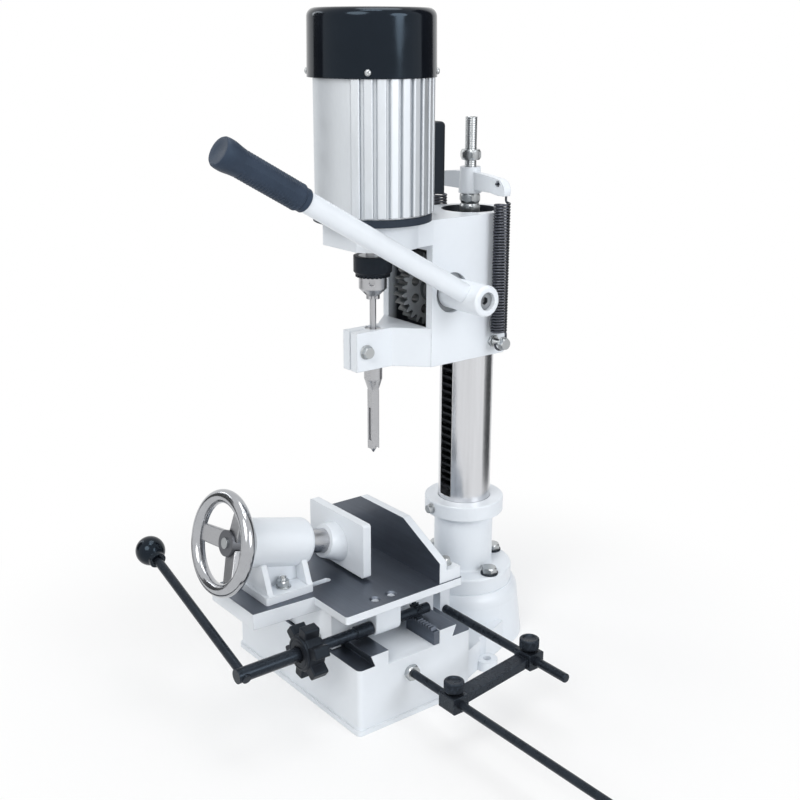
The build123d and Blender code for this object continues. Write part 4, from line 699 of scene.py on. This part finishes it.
def point_object(places):
    """A mesh of points that carry an axis and a size each: places is (point, axis, (across, across, height))."""
    mesh = bpy.data.meshes.new("points")
    mesh.from_pydata([place for place, _, _ in places], [], [])
    axis = mesh.attributes.new("axis", "FLOAT_VECTOR", "POINT")
    size = mesh.attributes.new("size", "FLOAT_VECTOR", "POINT")
    for i, (_, way, sizes) in enumerate(places):
        axis.data[i].vector = way
        size.data[i].vector = sizes
    return linked_object("points", mesh)


TREES = {}


# ---------------------------------------------------------------- operators
class MORTISER_OT_finishes(bpy.types.Operator):
    """Give every CAD node its finish"""

    bl_idname = "mortiser.finishes"
    bl_label = "Finishes"

    def execute(self, context):
        GROUPS.update({name: shader_group(name, *parts) for name, parts in SHADER_GROUPS.items()})
        FINISHES.update(make_finishes(context.scene.mortiser_colours))
        slots = {part["node"]: part["material_slot"] for part in frame["record"]["subparts"]}
        for name, piece in NODES.items():
            dress(piece, FINISH_OF_NODE.get(name, FINISH_OF_SLOT[slots[name]]))
        return {"FINISHED"}


class MORTISER_OT_springs(bpy.types.Operator):
    """Two return springs of round wire"""

    bl_idname = "mortiser.springs"
    bl_label = "Return springs"

    def execute(self, context):
        sizes = context.scene.mortiser_sizes
        TREES["wire"] = TREES.get("wire") or wire_tree()
        for side, label in ((-1, "right"), (1, "left")):
            points = self.wire_points(sizes.coil_radius)
            path = path_object([(side * (x - SPRING_X), side * y, z) for x, y, z in points])
            mesh = run_tree(path, TREES["wire"], {
                "Wire radius": sizes.wire_radius, "Sides": 8, "Material": FINISHES["spring"]}, f"{label}_spring")
            smooth(mesh, 60)
            piece = mesh_object(f"{label}_spring", mesh, "spring", None)
            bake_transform(piece)
            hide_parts("return_springs")
        return {"FINISHED"}

    def wire_points(self, reach):
        """The wire from the hook round the head's bolt, up the coil, to the hook through the crossbar."""
        steps = 20
        top = SPRING_LOW + SPRING_TURNS * SPRING_PITCH
        eye = reach - CROSSBAR_HALF

        def bend(count, whole, place):
            return [place(whole * i / count) for i in range(count + 1)]

        points = bend(12, pi, lambda turn: (-HOOK_BEND, reach * cos(turn), SPRING_BOLT_Z - reach * sin(turn)))
        points += bend(6, pi / 2, lambda turn: (
            -HOOK_BEND * cos(turn), -reach, SPRING_LOW - HOOK_BEND + HOOK_BEND * sin(turn)))
        for i in range(1, SPRING_TURNS * steps):
            turn = 2 * pi * i / steps - pi / 2
            points.append((reach * cos(turn), reach * sin(turn), SPRING_LOW + SPRING_PITCH * i / steps))
        points += bend(6, pi / 2, lambda turn: (HOOK_BEND * sin(turn), -reach, top + HOOK_BEND - HOOK_BEND * cos(turn)))
        points += bend(6, pi / 2, lambda turn: (
            HOOK_BEND, -reach + eye - eye * cos(turn), CROSSBAR_HOOK_Z - eye + eye * sin(turn)))
        return [*points, (HOOK_BEND, CROSSBAR_HALF + 0.003, CROSSBAR_HOOK_Z)]


class MORTISER_OT_fasteners(bpy.types.Operator):
    """Hexagon bolts and nuts with turned corners, their washers and rod ends"""

    bl_idname = "mortiser.fasteners"
    bl_label = "Bolts and nuts"

    def execute(self, context):
        sizes = context.scene.mortiser_sizes
        TREES["fasteners"] = TREES.get("fasteners") or fastener_tree()
        templates = {}
        for kind, both_ends in (("head", False), ("nut", True)):
            templates[kind] = linked_object(kind, hex_head_mesh(kind, sizes.head_chamfer, both_ends))
        for name, body, heads, nuts, others in self.groups():
            parts = list(others)
            for kind, places in (("head", heads), ("nut", nuts)):
                if places:
                    points = point_object([(place, way, (across, across, high))
                                           for place, way, across, high in places])
                    made = run_tree(points, TREES["fasteners"], {
                        "Fastener": templates[kind], "Material": FINISHES["zinc"]}, kind)
                    smooth(made, 20)
                    parts.append(made)
            mesh_object(f"{name}_turned", joined(name, parts), "zinc", body, (name,))
        for template in templates.values():
            bpy.data.meshes.remove(template.data)
        return {"FINISHED"}

    def groups(self):
        """Each group as (CAD node, body, heads, nuts, other meshes); a head is (foot, way, across flats, height)."""
        ring = [(0.051 * cos(turn), 0.051 * sin(turn), 0.095) for turn in (0, pi / 2, pi, 3 * pi / 2)]
        yield "foot_bolts", "base", [(place, UP, 0.017, 0.007) for place in ring], [], []
        yield "stud_nuts", "base", [], [((0, 0, z), UP, 0.022, 0.0115) for z in (0.6005, 0.5510, 0.5387)], []
        yield "rod_nut", "base", [], [((0.127, FRONT_ROD_Y, 0.0558), RIGHT, 0.017, 0.007)], []
        clamp = (-0.161, 0.398)
        yield ("clamp_bolt", "head", [((0.0144, *clamp), RIGHT, EIGHT_MM_FLATS, 0.0055)],
               [((-0.0195, *clamp), RIGHT, EIGHT_MM_FLATS, 0.0065)],
               [disc(0.0084, 0.0014, RIGHT, (0.013, *clamp)),
                disc(EIGHT_MM_RADIUS, 0.010, RIGHT, (-0.021, *clamp))])
        heads, nuts, rods = [], [], []
        for way in (1, -1):
            out = (way, 0, 0)
            heads.append(((way * 0.064, 0, SPRING_BOLT_Z), out, EIGHT_MM_FLATS, 0.0055))
            nuts.append(((way * 0.045, 0, SPRING_BOLT_Z), out, EIGHT_MM_FLATS, 0.004))
            rods.append(self.eight_mm_rod(0.028, out, (way * 0.0355, 0, SPRING_BOLT_Z)))
            rods.append(disc(0.008, 0.0015, out, (way * 0.0625, 0, SPRING_BOLT_Z)))
        yield "spring_bolts", "head", heads, nuts, rods
        yield ("fence_bolts", "table",
               [((x, FENCE_BOLT_Y, 0.1559), UP, 0.011, 0.0065) for x in (0.095, -0.095)], [],
               [disc(0.0075, 0.0015, UP, (x, FENCE_BOLT_Y, 0.1544)) for x in (0.095, -0.095)])
        out = Vector((cos(COLLAR_SCREW_TURN), sin(COLLAR_SCREW_TURN), 0))
        seat = out * 0.0487 + Vector((0, 0, 0.1751))
        yield ("collar_screw", "collar", [(seat + out * 0.0012, out, 0.010, 0.006)], [],
               [disc(0.0065, 0.0012, out, seat), disc(0.003, 0.0152, -out, seat)])
        heads, nuts, rods = [], [], []
        for x in (0.023, -0.023):
            heads.append(((x, VISE_BOLT_Y, 0.116), UP, EIGHT_MM_FLATS, 0.0058))
            nuts.append(((x, VISE_BOLT_Y, 0.151), UP, EIGHT_MM_FLATS, 0.007))
            rods.append(self.eight_mm_rod(0.0444, UP, (x, VISE_BOLT_Y, 0.117)))
            rods.append(disc(0.0086, 0.0016, UP, (x, VISE_BOLT_Y, 0.1494)))
        yield "vise_bolts", "vise", heads, nuts, rods
        places = [(x, -0.256, 0.08675) for x in (-0.075, -0.015, 0.045)]
        rods = [threaded("rod", 0.0025, 0.0003, 0.0008, 0.008, BACK, (x, -0.257, z)) for x, _, z in places]
        yield "gib_screws", "table", [], [(place, BACK, 0.008, 0.003) for place in places], rods
        dome = ((0, 0), (0.0036, 0), (0.0035, 0.0008), (0.0029, 0.0017), (0.0017, 0.0023), (0.0011, 0.0022),
                (0.0010, 0.0014), (0, 0.0014))
        domes = []
        for turn in (-40, 50, 140, 230):
            out = Vector((cos(radians(turn)), sin(radians(turn)), 0))
            foot = out * (CAP_RADIUS + 0.0001) + Vector((0, SPINDLE_Y, MOTOR_HIGH + 0.006))
            domes.append(turned("dome", dome, out, foot, 32))
        yield "cap_screws", "head", [], [], domes

    def eight_mm_rod(self, length, axis, foot):
        """Threaded rod of an 8 mm bolt."""
        return threaded("rod", EIGHT_MM_RADIUS, EIGHT_MM_THREAD, EIGHT_MM_PITCH, length, axis, foot)


class MORTISER_OT_threads(bpy.types.Operator):
    """Threads of the column's stud and of the feed shaft"""

    bl_idname = "mortiser.threads"
    bl_label = "Threads"

    def execute(self, context):
        depth = context.scene.mortiser_sizes.thread_depth
        stud = threaded("stud", 0.007, depth, 0.002, 0.1546, UP, (0, 0, 0.494))
        mesh_object("stud_thread", stud, "zinc", "base", ("top_stud",))
        feed = threaded("feed", 0.0064, depth * 0.7, 0.0016, 0.044, BACK, (FEED_X, -0.2805, FEED_Z))
        mesh_object("feed_thread", feed, "oxide", "feed_crank", ())
        return {"FINISHED"}


class MORTISER_OT_thumbscrews(bpy.types.Operator):
    """Knurled thumbscrews on the stop bar, with dished tops"""

    bl_idname = "mortiser.thumbscrews"
    bl_label = "Thumbscrews"

    def execute(self, context):
        count = context.scene.mortiser_sizes.knurl_count
        cut = 0.0006
        profile = (
            (0, -0.006), (0.003, -0.006), (0.003, -0.0019), (0.006, -0.0018), (0.0097, -0.0001), (0.0102, 0),
            (0.0110, 0.0008, cut), (0.0112, 0.0016, cut), (0.0112, 0.0104, cut), (0.0109, 0.0114, cut),
            (0.0100, 0.0120), (0.0080, 0.0120), (0.0074, 0.0113), (0.0060, 0.0106), (0, 0.0104))
        for name, body, y, low in (("front_thumbscrew", "front_screw", FRONT_ROD_Y, 0.0678),
                                   ("rear_thumbscrew", "rear_screw", REAR_ROD_Y, 0.0816)):
            mesh = turned(name, profile, UP, (STOP_BAR_X, y, low), 4 * count, count)
            mesh_object(f"{name}_knurled", mesh, "oxide", body, (name,))
        return {"FINISHED"}


class MORTISER_OT_grip(bpy.types.Operator):
    """Lever's grip: a collar, ribs on its upper and lower sides, rows of nubs along its flanks, a flared end"""

    bl_idname = "mortiser.grip"
    bl_label = "Lever grip"

    def execute(self, context):
        ribs = context.scene.mortiser_sizes.grip_ribs
        out = Vector((0, -cos(LEVER_ANGLE), sin(LEVER_ANGLE)))
        body_r = 0.0142
        low, high, step = 0.263, 0.335, 0.0005
        outline = [(0, 0.252), (0.0118, 0.252), (0.0126, 0.2528), (0.0126, 0.2582), (0.0120, 0.2590),
                   (0.0120, 0.2598), (0.0138, 0.2602), (body_r, 0.2610)]
        outline += [(body_r, low + step * i) for i in range(int((high - low) / step))]
        outline += [(body_r, high), (0.0147, 0.3400), (0.0156, 0.3455), (0.0160, 0.3490), (0.0160, 0.3545),
                    (0.0155, 0.3578), (0.0143, 0.3594), (0.0120, 0.3596), (0.0080, 0.3585), (0, 0.3580)]
        rib_depth, nub_height, nub_gap, nub_r = 0.0009, 0.00045, 0.0032, 0.0010

        def relief(turn, height):
            """Depth cut at a turn round the grip: 0 is its outer flank, a quarter turn its upper side."""
            if not low < height < high:
                return 0.0
            rib = 0.5 - 0.5 * cos(2 * pi * ribs * (height - low) / (high - low))
            depth = rib_depth * rib * min(max((0.80 - abs(cos(turn))) / 0.12, 0.0), 1.0)
            past = (height - low) % nub_gap - nub_gap / 2
            for row in (-28, 0, 28):
                side = min(abs((turn - radians(row + half) + pi) % (2 * pi) - pi) for half in (0, 180)) * body_r
                depth -= nub_height * max(0.0, 1.0 - (side * side + past * past) / (nub_r * nub_r))
            return depth

        mesh = turned("grip", outline, out, (LEVER_X, GEAR_Y, GEAR_Z), 160, relief=relief)
        mesh_object("ribbed_grip", mesh, "grip", "lever", ("lever_grip",))
        return {"FINISHED"}


class MORTISER_OT_wheel_rim(bpy.types.Operator):
    """Round chromed rim over the handwheel's own"""

    bl_idname = "mortiser.wheel_rim"
    bl_label = "Wheel rim"

    def execute(self, context):
        place = placed(WHEEL_AXIS, Vector(JAW_CENTRE) + Vector(WHEEL_AXIS) * WHEEL_REACH)
        ring_r, tube_r, steps, sides = 0.0512, 0.00773, 240, 64
        points, faces = [], []
        for i in range(steps):
            turn = 2 * pi * i / steps
            near, far = i * sides, (i + 1) % steps * sides
            for j in range(sides):
                bend = 2 * pi * j / sides
                reach = ring_r + tube_r * cos(bend)
                points.append(place @ Vector((reach * cos(turn), reach * sin(turn), tube_r * sin(bend))))
                faces.append((near + j, far + j, far + (j + 1) % sides, near + (j + 1) % sides))
        mesh = bpy.data.meshes.new("wheel_rim")
        mesh.from_pydata(points, [], faces)
        smooth(mesh, 60)
        mesh_object("wheel_rim", mesh, "wheel", "wheel", ())
        return {"FINISHED"}


class MORTISER_OT_knob_face(bpy.types.Operator):
    """Raised round face on the star knob, with a turned ring"""

    bl_idname = "mortiser.knob_face"
    bl_label = "Star knob face"

    def execute(self, context):
        profile = ((0, -0.002), (0.0195, -0.002), (0.0195, 0.0010), (0.0187, 0.0022), (0.0170, 0.0026),
                   (0.0160, 0.0020), (0.0150, 0.0020), (0.0142, 0.0027), (0.0095, 0.0027), (0.0090, 0.0010),
                   (0, 0.0010))
        mesh = turned("knob_face", profile, (0, -1, 0), (FEED_X, -0.307, FEED_Z), 72)
        mesh_object("knob_face", mesh, "matte_black", "lock_knob", ())
        return {"FINISHED"}


class MORTISER_OT_stage(bpy.types.Operator):
    """Floor, lamps, surroundings and camera"""

    bl_idname = "mortiser.stage"
    bl_label = "Stage"

    def execute(self, context):
        floor = self.plate("floor", (-14, -14, 0), (14, -14, 0), (14, 14, 0), (-14, 14, 0))
        floor.data.materials.append(self.floor_finish())
        self.surroundings(context)
        self.flags()
        for name, place, size, power, colour in (
            ("key", (1.1, -2.4, 2.3), 1.8, 43.0, (1.0, 0.99, 0.97)),
            ("fill", (2.9, 0.5, 1.5), 1.6, 38.0, (0.95, 0.97, 1.0)),
            ("left", (-2.3, -1.4, 1.5), 1.4, 16.0, (0.96, 0.98, 1.0)),
            ("top", (0.0, 0.2, 2.9), 1.6, 22.0, (1.0, 1.0, 1.0)),
        ):
            lamp = bpy.data.lights.new(name, "AREA")
            lamp.shape = "DISK"
            lamp.size = size
            lamp.energy = power
            lamp.color = colour
            made = linked_object(name, lamp)
            made.location = place
            made.rotation_euler = (Vector((0, -0.1, 0.35)) - Vector(place)).to_track_quat("-Z", "Y").to_euler()
        camera = bpy.data.cameras.new("camera")
        camera.lens = 52.947
        camera.sensor_width = 36.0
        camera.sensor_fit = "HORIZONTAL"
        camera.shift_x = 0.0052
        camera.shift_y = -0.0069
        camera.clip_end = 100.0
        stand = linked_object("camera", camera)
        stand.location = (1.04265, -0.91510, 0.74179)
        stand.rotation_euler = (radians(72.8634), radians(-0.101), radians(52.3242))
        context.scene.camera = stand
        context.scene.view_settings.view_transform = "Standard"
        return {"FINISHED"}

    def plate(self, name, *corners):
        """A flat face with four corners."""
        mesh = bpy.data.meshes.new(name)
        mesh.from_pydata(corners, [], [(0, 1, 2, 3)])
        return linked_object(name, mesh)

    def floor_finish(self):
        """White floor that keeps the shadow near the object and is plain white further off."""
        material = bpy.data.materials.new("White floor")
        tree = emptied(material)
        place = node(tree, "ShaderNodeTexCoord").outputs["Object"]
        far = vector_maths(tree, "LENGTH", vector_maths(tree, "ADD", place, (0.0, 0.12, 0.0)))
        fade = ramp(tree, far, 0.28, 0.62, 0.55, interpolation_type="SMOOTHSTEP")
        rays = node(tree, "ShaderNodeLightPath").outputs
        seen = maths(tree, "MAXIMUM", rays["Is Camera Ray"], rays["Is Glossy Ray"])
        matte = node(tree, "ShaderNodeBsdfDiffuse", {"Color": (0.93, 0.93, 0.93, 1.0)})
        white = node(tree, "ShaderNodeEmission", {"Strength": 1.0})
        chosen = node(tree, "ShaderNodeMixShader", {
            "Fac": maths(tree, "MULTIPLY", seen, fade), 1: matte.outputs[0], 2: white.outputs[0]})
        node(tree, "ShaderNodeOutputMaterial", {"Surface": chosen.outputs[0]})
        return material

    def flags(self):
        """Dark cards and a bright one, which only reflections see."""
        for name, light, centre, half_wide, half_high in (
            ("left_card", 0.10, Vector((-1.6, -1.3, 0.7)), 0.5, 0.9),
            ("right_card", 0.08, Vector((0.17, 0.48, 0.7)), 0.22, 0.7),
            ("soft_box", 9.0, Vector((0.52, -0.54, 2.6)), 0.42, 0.16),
        ):
            material = bpy.data.materials.new(f"Card {name}")
            tree = emptied(material)
            glow = node(tree, "ShaderNodeEmission", {"Color": (0.95, 0.98, 1.0, 1.0), "Strength": light})
            node(tree, "ShaderNodeOutputMaterial", {"Surface": glow.outputs[0]})
            facing = (Vector((0, 0, 0.7)) - centre).normalized()
            across = facing.cross(Vector(UP)).normalized() * half_wide
            rise = across.cross(facing).normalized() * half_high
            card = self.plate(name, centre - across - rise, centre + across - rise, centre + across + rise,
                              centre - across + rise)
            card.data.materials.append(material)
            card.visible_camera = card.visible_diffuse = card.visible_shadow = False

    def surroundings(self, context):
        """Even light all round, which camera, gloss and glass rays see as white."""
        world = bpy.data.worlds.new("Studio")
        context.scene.world = world
        tree = emptied(world)
        rays = node(tree, "ShaderNodeLightPath").outputs
        seen = maths(tree, "MAXIMUM", rays["Is Camera Ray"], rays["Is Glossy Ray"])
        even = node(tree, "ShaderNodeBackground", {"Color": (0.95, 0.975, 1.0, 1.0), "Strength": 0.32})
        white = node(tree, "ShaderNodeBackground", {"Color": (1.0, 1.0, 1.0, 1.0), "Strength": 1.0})
        chosen = node(tree, "ShaderNodeMixShader", {
            "Fac": maths(tree, "MAXIMUM", seen, rays["Is Transmission Ray"]), 1: even.outputs[0],
            2: white.outputs[0]})
        node(tree, "ShaderNodeOutputWorld", {"Surface": chosen.outputs[0]})


class MORTISER_PT_panel(bpy.types.Panel):
    """Pieces of the mortiser"""

    bl_label = "Mortiser"
    bl_idname = "MORTISER_PT_panel"
    bl_space_type = "VIEW_3D"
    bl_region_type = "UI"
    bl_category = "Mortiser"

    def draw(self, context):
        for piece in PIECES:
            self.layout.operator(piece.bl_idname)
        for group in (context.scene.mortiser_sizes, context.scene.mortiser_colours):
            box = self.layout.box()
            for name in group.bl_rna.properties.keys():
                if name not in ("rna_type", "name"):
                    box.prop(group, name)


PIECES = (
    MORTISER_OT_finishes, MORTISER_OT_springs, MORTISER_OT_fasteners, MORTISER_OT_threads, MORTISER_OT_thumbscrews,
    MORTISER_OT_grip, MORTISER_OT_wheel_rim, MORTISER_OT_knob_face, MORTISER_OT_stage)
CLASSES = (MortiserSizes, MortiserColours, *PIECES, MORTISER_PT_panel)


def register():
    for cls in CLASSES:
        bpy.utils.register_class(cls)
    bpy.types.Scene.mortiser_sizes = PointerProperty(type=MortiserSizes)
    bpy.types.Scene.mortiser_colours = PointerProperty(type=MortiserColours)


def unregister():
    del bpy.types.Scene.mortiser_colours
    del bpy.types.Scene.mortiser_sizes
    for cls in reversed(CLASSES):
        bpy.utils.unregister_class(cls)


def main():
    register()
    for piece in PIECES:
        group, name = piece.bl_idname.split(".")
        getattr(getattr(bpy.ops, group), name)()


if __name__ == "__main__":
    main()
